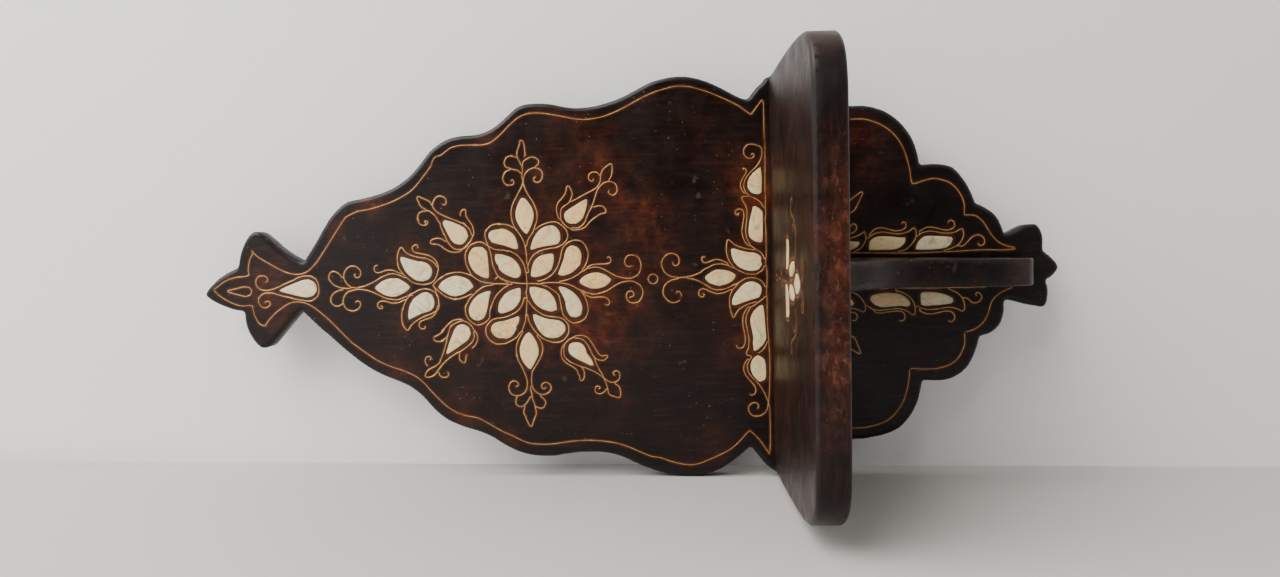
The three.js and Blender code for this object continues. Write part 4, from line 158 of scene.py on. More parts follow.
    [53.9,170.7,54,171.1,54.3,171.3,55.1,171.5,57.8,171,59.3,170.5,60.3,169.7,60.9,168.7,61.6,166.8,61.7,164.4,62.1,162.9,61.6,161.3,59.9,159.1,58.3,157.3,56.3,155.9,53.1,154.2,51.5,153,50.3,152.7,48.7,152.5,44.2,150.8,42.3,150.4,41.9,150.2,41.5,149.6],
    [-68.4,-98.5,-67.6,-97,-70,-95,-72.5,-93.8,-75.3,-93.4,-77.6,-93.7,-79.9,-94.6,-81.6,-95.6,-89.7,-102,-91.5,-102.8,-93.1,-103.1,-95.4,-102.7,-97,-101.4,-97.6,-99.1,-97.4,-98.8,-96.5,-98],
    [-60.8,93.5,-60.1,94,-59.4,94.1,-57,93.9,-53.8,94,-50.6,93.4,-45.8,91.5,-40.3,88.2,-38.4,88.3,-32.9,86.1,-29.8,85.2,-27,85,-25.5,84.5,-25.3,84.1],
    [-58,93.8,-59.1,93.3,-61.1,93.2,-63.1,92.7,-71,89,-75.5,87.2,-79,86.2,-81.8,85.7,-85.4,85.9,-87.4,86.4,-88.8,87,-89.9,87.6],
    [-8.4,-113.8,-8.2,-112.4,-7.1,-112,-5.3,-111.1,-4.3,-110.4,-2.9,-108.9,-1.7,-106.9,-1.1,-105.4,-0.4,-100.6,-1,-97,-1.3,-95.9,-4.2,-91,-5,-89.2,-5.3,-89,-6.5,-88.9,-7.7,-87.8],
    [-63.2,28.9,-63.6,29.2,-65.2,29,-72.5,26,-77.7,23.1,-80.3,22.1,-81.5,21.8,-84,20.6,-89.4,19.2,-92.1,18.9,-93.5,18.4],
    [9.5,184.5,10.3,185.4,10.9,186.4,11.8,189.1,13.6,193.1,14,195.5,14,198.7,12.2,205.2,12.4,207.6,12.9,208.2,13.9,208.9,14.6,209.1,16.2,209,17.3,208.6,17.9,208,18.1,207.7,18.3,206.1],
    [99.6,-103.4,100.5,-104.2,100.5,-105,100,-105.5,99.2,-105.7,98.5,-105.5,97.7,-105.1,97,-104.2,96.7,-103.5,96.7,-101.9,96.8,-100.7,97.6,-99.3,98.8,-98.2,100.6,-97.3,102.6,-97.2,104.5,-97.6,106.5,-98.9,107.3,-99.8,108,-101.3,108.1,-103.7,107.8,-106.1,106.4,-109.4],
    [-52.5,130.7,-50.4,128.3,-47.4,126.4,-45.5,125.8,-44.3,125.6,-42.7,125.7,-40.8,126.1,-39,127,-37.5,128.3,-35,129.6,-32.9,131.4,-31,133.5,-29.6,136.7,-28.5,138],
    [43.3,150.4,42.8,149.8,39.8,148.9,36.8,147.6,34.4,146.2,31.1,143.4,29.9,141.3,29.4,139.4,29.7,135.4,30.4,134.4,31.5,133.3,32.2,132.3,35.5,128.8],
    [-19,19.4,-19.7,18,-19.7,16.8,-19.3,16.2,-18.2,15.6,-17.5,15.5,-15.6,16.2,-15.2,16.3,-14.2,17.5,-13.3,19.3,-12.9,21.2,-12.9,26,-13.1,28.8,-12.6,31.9,-11.6,33.7,-10.7,34.9,-7.3,37.7],
    [-46,156.5,-42.7,150.6,-40.4,150,-35.4,148.3,-33.4,147.1,-30.8,142.2,-30.1,140.3,-29.5,137.6],
    [-0.1,235.6,-0.9,235.8,-1.1,236.2,-1.5,238.5,-2.2,240.8,-3.5,243.2,-5.2,244.9,-6.5,245.8,-8.8,246.3,-10.4,246.3,-11.9,245.8,-13.1,244.8,-14.2,243.1,-14.5,241.5,-14.5,240.3,-14.2,239.2,-13.3,237.9,-12.9,236.4,-12.7,235.9],
    [1.1,95.4,0.3,95.4,-0.4,95.8,-0.6,96.5,0.1,102.9,0.3,110.2,-0.5,111.5,-1.2,116.3,-2.1,119.4,-3,121.2,-4,122.4],
    [69,-98.5,68.6,-98.2,68.7,-97,70.5,-95.5,71.9,-94.7,74.3,-94.2,76.6,-94.2,79.3,-95.2,80.7,-95.9,84.3,-98.3,86.1,-99.1,87.7,-98.9,88.5,-98,88.7,-96.9,87.9,-96.2],
    [19.3,16.1,19.7,15.5,19.7,14.7,18.9,13.8,18.2,13.5,17,13.4,16.2,13.6,15.2,14.2,14.8,14.9,14.2,17.2,14.1,26.1,13.5,29.6,12.2,32.6,11.6,33.1,10.9,33.4],
    [-93.2,94.8,-94.5,94.8,-95.9,95.6,-98.7,95.9,-99.9,95.8,-100.5,95.3,-101.6,94.2,-102.3,92.3,-102.3,91.9,-102.2,91.1,-101.8,90,-101.2,88.9,-99.9,87.4,-97.4,85.5,-94.5,84,-94.4,82.2],
    [-63.7,157.8,-62.5,157.6,-57.4,155.3,-52.1,153.4,-44.8,151.2,-42.4,151.3,-41.5,150.6],
    [96.3,83.7,96.5,84,97.4,84.7,101.1,86.3,102.8,87.2,104.8,87.6,108,87.3,114.3,85,116.7,84.6],
    [-88.9,19.4,-89,19.8,-91.1,21.7,-92.4,23.2,-93.2,25.1,-93.3,26.3,-93,27.4,-92.5,28.5,-91.7,29.4,-91,29.8,-88.2,29.6,-87.9,29.5,-87.1,28.6,-86.7,27.4,-87.2,25.9,-87.9,25.6,-88.3,25.6,-88.9,26.1,-89.1,26.9],
    [-85.2,82.1,-85.6,82.8,-86,82.9,-88.4,83.1,-91.5,82.4,-95.1,82.1,-101.3,80.1,-102.7,79.9],
    [-38.8,155.4,-38.4,155.6,-36.5,154.1,-35.5,152.9,-32.1,149.6,-29.7,146.4,-28.8,144.2,-28.2,140.3,-28.4,138.4,-28.6,138,-29.2,137.5],
    [86.2,19.7,86.4,20.1,86.9,20.7,88.5,21.9,89.2,22.9,89.5,24.9,89.2,26.8,88.4,28.2,87.5,29,86,29.5,84.4,29.6,83.6,29.3,83,28.9,82.2,27.9,82,27.1,82.2,26,82.9,25.6,83.7,25.7,84.1,26.4],
    [-55.2,141,-55.6,140.7,-57.9,141.5,-59.5,141.3,-61.1,141.5,-62.5,140.7,-63.8,139.2,-64.4,138.1,-64.4,137.3,-63.6,136.6,-60,136,-57.8,135],
    [51.1,164.3,53,165.7,53.4,165.5,53.6,164.8,53.2,163.7,52.7,163.1,52.3,163,51.5,163.2,50.5,164.4,50.1,165.5,50.2,167.5,51,169.3,51.9,170.1,52.9,170.6,54.9,170.7,55.7,171,55.7,171.4],
    [49.3,105.5,48.9,104.8,49.1,101.6,48.8,99.2,48.2,96.9,47.2,94.7,46.1,93,45.9,91.8,44.3,90,43.6,89.7,43.2,89.7],
    [81.1,95.4,80.4,96.1,80.8,96.8,81.6,97.7,83.1,99,85.4,99.8,87.4,99.7,90.3,98.5,91.6,97.5,92.7,95.8,93.3,93.9,93.7,93.2,94.2,93.1],
    [72.8,167.6,73.3,168.6,73.6,169.3,73.7,170.5,73.1,171.1,72.7,171.1,71.1,170.9,69.4,169.8,67.1,169.1,66.4,168.6,64.4,166.7,63.2,164.6,62.3,163.8,61.9,163.6],
    [90.1,84,90.2,84.3,90.5,85.1,91.9,86.5,92.7,87.9,93.3,90.2,93.6,90.9,93.5,91.3,93.7,92.1,94.6,93.8,95.3,96.1,96.4,97.7,97.1,98.1,97.5,97.8],
    [-11.5,143.5,-11,143,-11.4,140.6,-11.1,138.7,-9.1,132.6,-7.7,129.7,-7.8,128.9,-8.4,128.4,-8.6,128.1],
    [-119.1,83.6,-118.4,85.2,-112.6,87.7,-110.7,88.2,-107.8,89.5,-105.8,89.6,-102.8,88.5,-101.6,88.5,-101.3,89],
    [103.7,81.7,104.6,80.9,105.4,80.7,107.8,81.1,111.4,81.2,114.6,81.8,116.4,82.5,116.7,82.8,116.8,83.9,116.4,85],
    [23.1,168,23.4,167.6,23.2,166.5,20.6,161.1,17.8,158.2,15.8,157,15.4,156.3],
    [-17.5,186.6,-18.5,187.2,-23.2,187.9,-28.8,187.9,-30,187.6,-31,187.1,-31.8,187.2],
    [-61.3,166.2,-60.6,165.3,-59.8,165.1,-59,165.3,-58.4,166.3,-58.5,167.5,-58.7,168.3,-59.5,169.2,-60.5,169.8,-61.7,170.1,-64,169.7,-65.1,169.1,-66.3,168.1],
    [-6.6,180.2,-7.4,180.4,-10.9,183.7,-12.4,184.2,-14.8,185.5,-16.3,186.1,-18.7,186.5,-19.4,186.7,-19.4,187.3],
    [40.2,126.3,40.6,126.8,42,127.4,45.5,128.6,47.1,129.8,49.9,133.3,50.9,133.9],
    [-62.8,-105.6,-61.5,-108,-60.2,-109.5,-56.6,-112,-53.6,-113.1,-53.6,-114.4],
    [-36.1,153.1,-37.2,153.6,-38.3,154.6,-41.3,159.3,-42.2,161.5,-42.8,162],
    [-0.1,160.4,-0.6,160.6,-1.6,159.9,-2.6,158.1,-4.1,156.9,-6.8,153.4,-8.7,151.3,-9.1,150.6,-9,150.2],
    [-44.2,162.3,-45.1,161.5,-45.8,160.5,-46.3,156.2,-46.2,155.4,-45.7,154.3,-44.4,153.3],
    [81.1,97.1,81.4,96.9,80.8,94.2,81,92.6,81.2,91.8,82.1,91.1,84.1,91,85,91.7,85.2,92.5,84.6,93,83.8,93],
    [-92.6,74.9,-93.8,75,-94.2,74.9,-96.6,72.3,-98.7,71.1,-99.5,71,-100.6,71.3,-101,71.5,-102,72.2],
    [9.2,184.1,11,185.7,15,188.3,16.9,189,18.1,188.9,18.8,189.2],
    [-71.2,160.4,-72.6,158.9,-73.8,158.6,-74.8,158,-75.8,156.7,-76.2,155.1,-76.2,153.9,-76,152.7,-75.3,151.7,-74.3,151.1],
    [-77.2,8.9,-76,9.3,-75.1,10,-74.5,11.1,-74.6,12.6,-75.1,13.7,-75.3,14,-76.1,14.3,-76.5,14.3,-77.2,14.1,-78.4,13],
    [67.2,150.4,66.5,149.9,66.3,149.6,66.2,148.8,66.8,147.8,67.5,147.4,69,147.2,70.2,147.2,71.3,147.7,72.2,148.5],
    [-12.4,221.9,-11.5,222.2,-10.9,223.5,-10.8,224.3,-11.2,225.5,-11.9,225.7],
    [103.6,96.1,103.4,96.5,102.8,96.9,99.4,98.3,98.2,98.2,97.1,97.6,96.4,97.4],
    [7.1,299.9,7.2,299.1,7.6,298.4,8.3,298.1,9.1,298,11.2,299.1,12,300.5,12.1,301.6],
    [-14.4,-43.5,-13.2,-43.6,-12,-43.4,-10.7,-42.5,-10.1,-41.4,-10,-40.2,-10.1,-39.9,-10.5,-39.7,-11.3,-39.9,-11.6,-40.2],
    [-12.5,131.8,-12.9,131.7,-13.2,131.8,-14.1,132.6,-14.8,132.9,-16.1,133.8,-18.5,134.5],
    [104.3,93.3,103.9,90.2,102.9,87.6],
    [102.7,96.7,103.8,95.5,104.2,94.8,104.8,92,104.8,91.6,104.3,90.9],
    [-103,79.8,-102.9,78.5,-104,76.4,-104,75.3,-104,74.1],
    [4.2,109.4,6.2,106.8,6.6,106.6],
    [71.9,156.1,70.9,156.7,69.2,157.8,66.8,158.5,66.4,158.7],
    [43.2,115.8,44,115.1,45,114.9,45.4,114.4],
    [5.2,156,5.5,155.3,7.3,153.6,7.6,152.9],
    [10.7,185.5,8.6,183.4,7.9,183.1,7.4,183.2],
    [-35.4,148.3,-33.3,146.5],
    [-43.1,162.1,-44,162.1],
    [-118.4,85.2,-119.1,83.6,-117.6,82.7,-114.7,81.8,-110.4,79.9,-108.6,79.3,-106.9,79.2,-102.7,79.9,-101.3,80.1],
    [-88.8,87,-89.9,87.6,-91.2,89,-91.8,90,-92.6,91.6,-93.2,93.9,-93.1,95.7,-92,98.5,-91.3,99.4,-90.3,100.1,-88.1,101.1,-86.9,101.3,-85.7,101.3,-84.5,101,-83.4,100.6,-81.9,99.6,-80.9,98.1,-80.7,96.9,-81,95.1,-81.6,94.1,-82.1,93.7,-83.1,93.2,-83.7,93.2,-84.3,93.4,-84.8,93.7,-85.1,94.2,-85.4,95.4],
    [-89.5,67,-88.4,66.3,-86.6,66.2,-85.4,66.4,-83.9,67.4,-82.9,68.9,-82.5,70,-82.5,70.6,-82.8,71.8,-83.8,73.3,-84.9,74,-86.1,74,-87.1,73.5,-87.6,73.1,-87.8,72.5,-87.9,71.9,-87.7,71.4,-86.7,70.6],
    [-104,75.3,-104,74.1,-103.3,72.8,-102,72.2,-101,71.5],
    [-92.1,18.9,-93.5,18.4,-94.3,17.5,-94.9,16.4,-96.5,11.9,-96.8,10.7,-96.5,9.6,-95.5,8.8,-94.3,8.6,-90.7,8.8,-88.4,9.4,-87.5,10.1],
    [-83.8,16.1,-83.9,14.9,-83.8,13.7,-83.6,12.5,-83.1,11.4,-82.3,10.4,-81.3,9.7,-80.2,9.2,-79,8.9,-77.2,8.9,-76,9.3],
    [-67.5,163.5,-67.2,162.4,-63.7,157.8,-62.5,157.6],
    [-75.3,151.7,-74.3,151.1,-73,150.9,-72,151.6],
    [73.3,168.6,72.8,167.6,69.5,160.9,68.6,160.2],
    [70.9,156.7,71.9,156.1,73.3,154.1,73.7,152.4,73.4,150.6,72.2,148.5,71.3,147.7],
    [17.4,-183.2,19.6,-188.4,20.7,-190.2,22.1,-191.8,24.3,-193.4,27.5,-194.8,29.6,-195.1,32.4,-194.7,35,-193.8],
    [29.6,-182.1,30.9,-187.4,34.4,-194],
    [33.1,-182.2,34,-184.9,34.8,-186.1,35.8,-187.1,36.5,-187.4,37.8,-187.8,39.2,-187.6,39.9,-187.3,40.9,-186.3,41.1,-185.6,41.1,-184.9,40.9,-184.2,39.9,-183.2,38.7,-182.4],
    [28.9,-195,28.8,-196.2,31.6,-200.3,32.3,-201.5,33.1,-203.4,33.5,-205.5,33.7,-206.9,33.7,-209,32,-219.4,31.9,-222.9,32.5,-226.3,33.3,-229,33.9,-230.3,35.9,-233.2,36.4,-234.5],
    [16.4,-221.3,17.7,-221.6,18.2,-225.1,19.3,-227.7,21,-229.9,25.1,-233.7,27.5,-235.2,29.5,-235.8,32.4,-235.9,33.8,-235.8,35.1,-235.4,36.3,-234.6],
    [30.7,-198.9,32,-198,34.5,-200.5,35.9,-202,36.6,-203.3,37.1,-205.3,37,-209.5,35.9,-213.5,34.7,-217.5,34.4,-218.9,34.5,-221.7,35,-224.4,35.6,-225.7,36.4,-226.8,37.6,-227.6,38.9,-227.8,40.3,-227.5,40.9,-227.1,41.3,-226.5,41.4,-225.8,41.2,-225.2,40.7,-224.7,40,-224.5],
    [29.1,-235.9,31.8,-240,32.4,-241.3,32.9,-243.3,33.3,-245.4,33.3,-248.9,31.5,-257.8,31.4,-262.7,31.5,-264.8,32,-266.8,32.8,-268.8,34.2,-271.2,34.4,-271.9,34.4,-272.6,33.9,-273.8],
    [16.2,-258.2,17.2,-258.1,19.2,-264.9,21,-268.7,21.8,-269.8,22.8,-270.9,24.4,-272.2,26.3,-273.2,28.9,-274.1,31,-274.3,34.5,-273.5,34.4,-272.1],
    [31.1,-238.9,33.3,-238.3,36.1,-243.2,36.5,-244.5,36.7,-245.9,36.5,-249.3,34.2,-258.1,33.9,-260.9,34.2,-263,34.9,-264.9,35.7,-266.1,36.2,-266.5,37.5,-267.1,38.8,-267.1,40.1,-266.6,40.7,-266.2,41.5,-265.1,41.7,-264.4,41.6,-263,41.2,-262.5,40,-261.8],
    [18.4,-261.9,19.1,-264.6,20.5,-267.8,20.9,-269.1,21,-269.8,20.4,-272.5,20.8,-273.9,22.5,-276,26.1,-279.4,27.5,-280.9,28.6,-282.7,29.2,-284.7,29.2,-286.7,28.4,-288.7,27,-290.2,25.1,-291.1,23.8,-291.2,22.4,-290.9,21.3,-290.1,20.9,-289.5,20.6,-288.1,20.9,-286.8,21.3,-286.3,22,-286,22.6,-286.1],
    [-27.6,-181.8,-28.7,-186.6,-30.5,-190.4,-31,-191.7,-31,-192.4,-30.7,-193,-30.2,-193.5,-29.6,-193.8,-28.2,-194,-25.4,-193.6,-22.8,-192.6,-21,-191.6,-19.3,-190.3,-17.3,-188.3,-16.2,-186.6,-14.9,-184.1,-14.4,-182.1,-12.6,-182],
    [-31.1,-182,-31.2,-184.1,-31.6,-185.3,-32.5,-186.4,-33,-186.8,-34.3,-187.2,-35.7,-187.2,-36.3,-187,-37.5,-186.3,-37.9,-185.7,-38.1,-185.1,-38.1,-184.4,-37.8,-183],
    [-25.8,-193.6,-25.6,-194.5,-28.6,-199.2,-29.4,-201.2,-29.7,-202.5,-30.1,-204.6,-30.1,-206.7,-29.8,-210.8,-29.2,-216.4,-29.1,-219.1,-29.3,-221.2,-29.8,-223.9,-31,-227.2,-32,-229,-34.2,-231.7,-34.5,-233.1,-34.4,-234.5],
    [-12.2,-218.9,-14.6,-219,-15.1,-221.7,-16.1,-224.3,-17,-226.2,-19.4,-229.6,-22,-232,-23.1,-232.7,-25.1,-233.5,-27.1,-234.1,-29.1,-234.5,-31.9,-234.4,-33.2,-234.1,-34.5,-233.5],
    [-26.9,-196.4,-29.1,-200,-29.5,-200.5,-31.2,-201.8,-31.7,-202.3,-32.2,-203.6,-32.4,-205.7,-32.3,-207.8,-31.8,-211.2,-31.1,-218.2,-31.2,-221.7,-31.8,-223.7,-32.6,-224.8,-33.7,-225.7,-35.1,-226.1,-37.2,-225.9,-38.4,-225.3,-39.2,-224.1,-39.2,-222.7,-38.9,-221.4],
    [-27.8,-234.3,-27.4,-236.3,-28.8,-238.7,-29.6,-240.6,-30,-242,-30.5,-244.7,-30.6,-246.1,-30.3,-252.5,-29.2,-260.1,-29.2,-262.9,-29.5,-265,-30.3,-267.7,-31.1,-269.7,-32.4,-272.1,-32.5,-272.8,-32.3,-273.5,-31.9,-274,-30.6,-274.7,-28.5,-274.7,-24.4,-273.9,-22.4,-273.1,-21.2,-272.4,-19.6,-271.1,-17.8,-269,-16,-265.9,-14.6,-262.7,-13.8,-261.6,-13.1,-261.4],
    [-28.9,-238.9,-30.7,-237.9,-32.1,-239.5,-33.1,-241.3,-33.8,-243.2,-34.1,-245.3,-34.2,-247.4,-34.1,-248.8,-33.5,-252.2,-32.2,-258.3,-32.2,-261.1,-32.5,-263.1,-33.6,-264.9,-34.6,-265.7,-36.6,-266.5,-38,-266.5,-39.3,-266,-40.3,-265.1,-40.7,-264.6,-40.9,-263.9,-40.9,-263.2,-40.8,-262.5,-40.1,-261.3],
    [-16,-266,-18.2,-269.6,-21.1,-272.6,-21.5,-273.1,-21.7,-273.8,-21.8,-275.9,-22,-276.6,-22.8,-277.7,-24.3,-279.1,-25.2,-280.2,-26,-282.1,-26,-284.2,-25.6,-285.5,-24.4,-287.2,-22.6,-288.3,-21.3,-288.6,-19.9,-288.3,-18.8,-287.5,-18,-286.4,-17.7,-285.1,-17.9,-284.4,-18.4,-284,-19.1,-283.8,-20.4,-284.2],
    [-61.4,-181.8,-63.7,-185.3,-65.1,-187.7,-65.4,-189,-65,-189.5,-63.7,-189.3,-53.3,-185.3,-51.7,-184,-50.6,-182.1],
    [49.8,-182.6,51.7,-185.6,52.7,-186.5,53.9,-187.3,63.3,-192,65.9,-193,66.6,-193,66.9,-192.5,66.8,-191.8,66.1,-190.5,59.9,-182.1],
    [-5.8,306.1,-6.4,306.3,-7,306.4,-7.6,306.6,-8.2,306.8,-8.8,306.8,-9.4,306.7,-10,306.6,-10.5,306.4,-11.1,306.1,-11.6,305.8,-12.1,305.4,-12.6,305,-13,304.6,-13.4,304.1,-13.7,303.6,-14,303.1,-14.2,302.5,-14.3,301.9,-14.3,301.3,-14.2,300.7,-14,300.1,-13.8,299.6,-13.5,299,-13.2,298.5,-12.9,298,-12.4,297.6,-12,297.2,-11.4,297,-10.8,297,-10.2,297.1,-9.7,297.4,-9.3,297.9,-9,298.4,-8.8,299,-8.8,299.6,-9,300.2,-9.3,300.7,-9.7,301.2,-10.1,301.6],
    [10.7,306.8,12,305,12.3,301.8],
    [-3.6,320.8,-4.3,318.6,-4.4,316.8],
    [-101.1,-112.3,-101.6,-112.6,-102.2,-112.8,-102.8,-113,-103.4,-113.1,-104,-113.1,-104.6,-113,-105.2,-113,-105.8,-112.9,-106.4,-112.8,-107,-112.8,-107.6,-112.7,-108.1,-112.5,-108.7,-112.4,-109.3,-112.1,-109.8,-111.9,-110.4,-111.6,-110.9,-111.3,-111.4,-111,-111.9,-110.6,-112.3,-110.2,-112.7,-109.8,-113.1,-109.3,-113.5,-108.9,-113.8,-108.4,-114.1,-107.8,-114.4,-107.3,-114.6,-106.7,-114.9,-106.2,-115,-105.6,-115.1,-105,-115.1,-104.4,-115.1,-103.8,-115.1,-103.2,-115.1,-102.6,-115.1,-102,-115,-101.4,-114.9,-100.8,-114.7,-100.2,-114.4,-99.7,-114,-99.2,-113.6,-98.8,-113.2,-98.4,-112.7,-98,-112.2,-97.7,-111.7,-97.4,-111.1,-97.1,-110.6,-96.9,-110,-96.7,-109.4,-96.6,-108.8,-96.6,-108.2,-96.6,-107.6,-96.8,-107,-97,-106.5,-97.2,-106,-97.6,-105.6,-98,-105.2,-98.4,-104.8,-98.9,-104.5,-99.4,-104.2,-100,-104,-100.5,-103.8,-101.1,-103.7,-101.7,-103.8,-102.3,-103.9,-102.9,-104.1,-103.4,-104.5,-103.9,-104.9,-104.3,-105.4,-104.6,-106,-104.9,-106.6,-105,-107.2,-105,-107.8,-104.9,-108.3,-104.5,-108.7,-104.2],
    [106.7,-109.5,105,-111.5,102.5,-112.2],
]

MM = 0.001
FRONT = -16.0          # board's front face
SHELF_TOP = -117.3
SHELF_T = 22.0
PEARL_DEPTH = 1.8

SHELF_OUTLINE = [-162,-10, -161,20, -160.6,60, -159.4,100, -157.6,135, -154.6,160, -149.6,177, -141,190, -129,198.4,
                 -113,201.4, -60,202, 0,202, 60,202, 113,201.6, 131.5,199.6, 145,194, 154,184.6, 159.6,172, 162.2,155,
                 163.6,130, 164.1,100, 163.6,60, 162.6,20, 162,-10]
BRACKET_PROFILE = [-150,-139.95, -140,-144, -126,-150.5, -112,-157.5, -97,-167, -82,-178, -69,-190, -59,-203, -52.5,-217,
                   -48.6,-233, -45.6,-250, -42.4,-270, -38.4,-288, -33.4,-303, -29,-312.5, -26,-317.5, -21.5,-321.6,
                   -15.5,-323.6, -9,-324, -0.3,-324]
# brass lines on the shelf's top: x, depth
SHELF_LINES = [
    [0.75,26.0, 2.2,29.0, 3.2,33.0, 2.6,37.0, 0.75,38.6, -1.1,37.0, -1.7,33.0, -0.7,29.0, 0.75,26.0],
    [0.75,45.0, 0.75,50.0, 0.75,54.5],
    [0.75,65.0, 0.75,70.0, 0.4,75.0, 0.2,80.0],
    [17.0,125.0, 22.0,128.5, 29.0,131.5, 37.0,132.0, 42.5,128.5, 45.0,122.0, 47.5,114.5, 52.0,109.0, 57.5,109.5, 59.0,113.5, 59.0,117.0, 56.0,118.0],
    [33.0,131.8, 38.5,127.5, 41.0,121.5, 40.5,117.0, 38.0,116.0, 36.6,118.5],
    [-17.0,125.0, -22.0,127.5, -28.5,129.0, -34.0,126.0, -37.0,119.0, -39.0,111.5, -42.5,104.5, -46.0,102.0, -49.0,104.0, -48.5,108.0, -46.0,108.5],
    [-26.0,128.8, -31.0,124.0, -32.5,118.0, -31.0,114.0, -28.6,114.6],
    [-2.0,147.0, -3.0,153.0, -6.5,158.0, -11.5,161.0, -16.0,158.5, -16.4,153.5, -12.6,151.2, -10.0,153.6, -11.4,156.0],
    [3.0,147.0, 4.5,153.5, 8.0,159.0, 13.0,162.0, 17.6,159.4, 18.2,154.2, 14.6,151.6, 11.6,153.8, 12.8,156.4],
]

rnd = np.random.RandomState(11)


# ---------------------------------------------------------------- curves
def pairs(a):
    return np.array(a, float).reshape(-1, 2)


def spaced(p, step, closed):
    """Evenly spaced points along a polyline."""
    q = np.vstack([p, p[:1]]) if closed else p
    run = np.r_[0, np.cumsum(np.hypot(*np.diff(q, axis=0).T))]
    n = max(3, int(round(run[-1] / step)))
    t = np.linspace(0, run[-1], n + 1)
    r = np.stack([np.interp(t, run, q[:, 0]), np.interp(t, run, q[:, 1])], 1)
    return r[:-1] if closed else r


def flowing(p, step, closed, corner=38.0):
    """Catmull-Rom curve through the points that keeps the sharp corners sharp, evenly spaced."""
    p = np.asarray(p, float)
    n = len(p)
    if n < 3:
        return spaced(p, step, False)
    ids = range(n) if closed else range(n - 1)

    def sharp(i):
        if not closed and i in (0, n - 1):
            return True
        a, b, c = p[(i - 1) % n], p[i % n], p[(i + 1) % n]
        u, v = b - a, c - b
        k = np.dot(u, v) / max(np.hypot(*u) * np.hypot(*v), 1e-9)
        return math.degrees(math.acos(max(-1, min(1, k)))) > corner

    flags = [sharp(i) for i in range(n)]
    out = []
    for i in ids:
        p1, p2 = p[i], p[(i + 1) % n]
        p0 = p1 - (p2 - p1) if flags[i] else p[(i - 1) % n]
        p3 = p2 + (p2 - p1) if flags[(i + 1) % n] else p[(i + 2) % n]
        d = max(np.hypot(*(p2 - p1)), 1e-6)
        # tangents scaled to this span, so that uneven spacing doesn't overshoot
        m1 = (p2 - p0) / max(np.hypot(*(p2 - p1)) + np.hypot(*(p1 - p0)), 1e-6) * d
        m2 = (p3 - p1) / max(np.hypot(*(p3 - p2)) + np.hypot(*(p2 - p1)), 1e-6) * d
        k = max(2, int(math.ceil(d / step * 1.6)))
        t = (np.arange(k) / k)[:, None]
        out.append((2 * t**3 - 3 * t**2 + 1) * p1 + (t**3 - 2 * t**2 + t) * m1 + (-2 * t**3 + 3 * t**2) * p2 + (t**3 - t**2) * m2)
    q = np.vstack(out + ([] if closed else [p[-1:]]))
    # resample the whole curve evenly
    return spaced(q, step, closed)


def normals(p, closed):
    if closed:
        t = np.roll(p, -1, 0) - np.roll(p, 1, 0)
    else:
        t = np.gradient(p, axis=0)
    t = t / np.maximum(np.hypot(*t.T), 1e-9)[:, None]
    return np.stack([t[:, 1], -t[:, 0]], 1)   # outward for a counter-clockwise loop


def tree(points):
    k = KDTree(len(points))
    for i, q in enumerate(points):
        k.insert((q[0], q[1], 0.0), i)
    k.balance()
    return k


def far(k, points):
    """Distance from each point to the nearest of a tree's points."""
    if k is None:
        return np.full(len(points), 99.0)
    return np.array([k.find((a, b, 0.0))[2] for a, b in points])


def thinned(points, cell):
    """Drops points that share a small cell with an earlier one."""
    if not len(points):
        return points
    key = np.floor(points / cell).astype(np.int64)
    _, first = np.unique(key[:, 0] * 1000003 + key[:, 1], return_index=True)
    return points[np.sort(first)]


# ---------------------------------------------------------------- solids from a flat outline
def triangulated(loop, inner, extra):
    """Triangles of a face: its outline, the loops drawn in it and free points. Returns points, triangles and where each input point went."""
    pts, areas, start = [Vector(q) for q in loop], [list(range(len(loop)))], len(loop)
    for l in inner:
        pts += [Vector(q) for q in l]
        areas.append(list(range(start, start + len(l))))
        start += len(l)
    pts += [Vector(q) for q in extra]
    v, _, f, orig, _, of = delaunay_2d_cdt(pts, [], areas, 1, 1e-6, True)
    where = {}
    for i, o in enumerate(orig):
        for j in o:
            where[j] = i
    keep = [i for i, o in enumerate(of) if 0 in o]
    return np.array([(a[0], a[1]) for a in v]), np.array([list(f[i]) for i in keep]), np.array([max(of[i]) for i in keep]), where


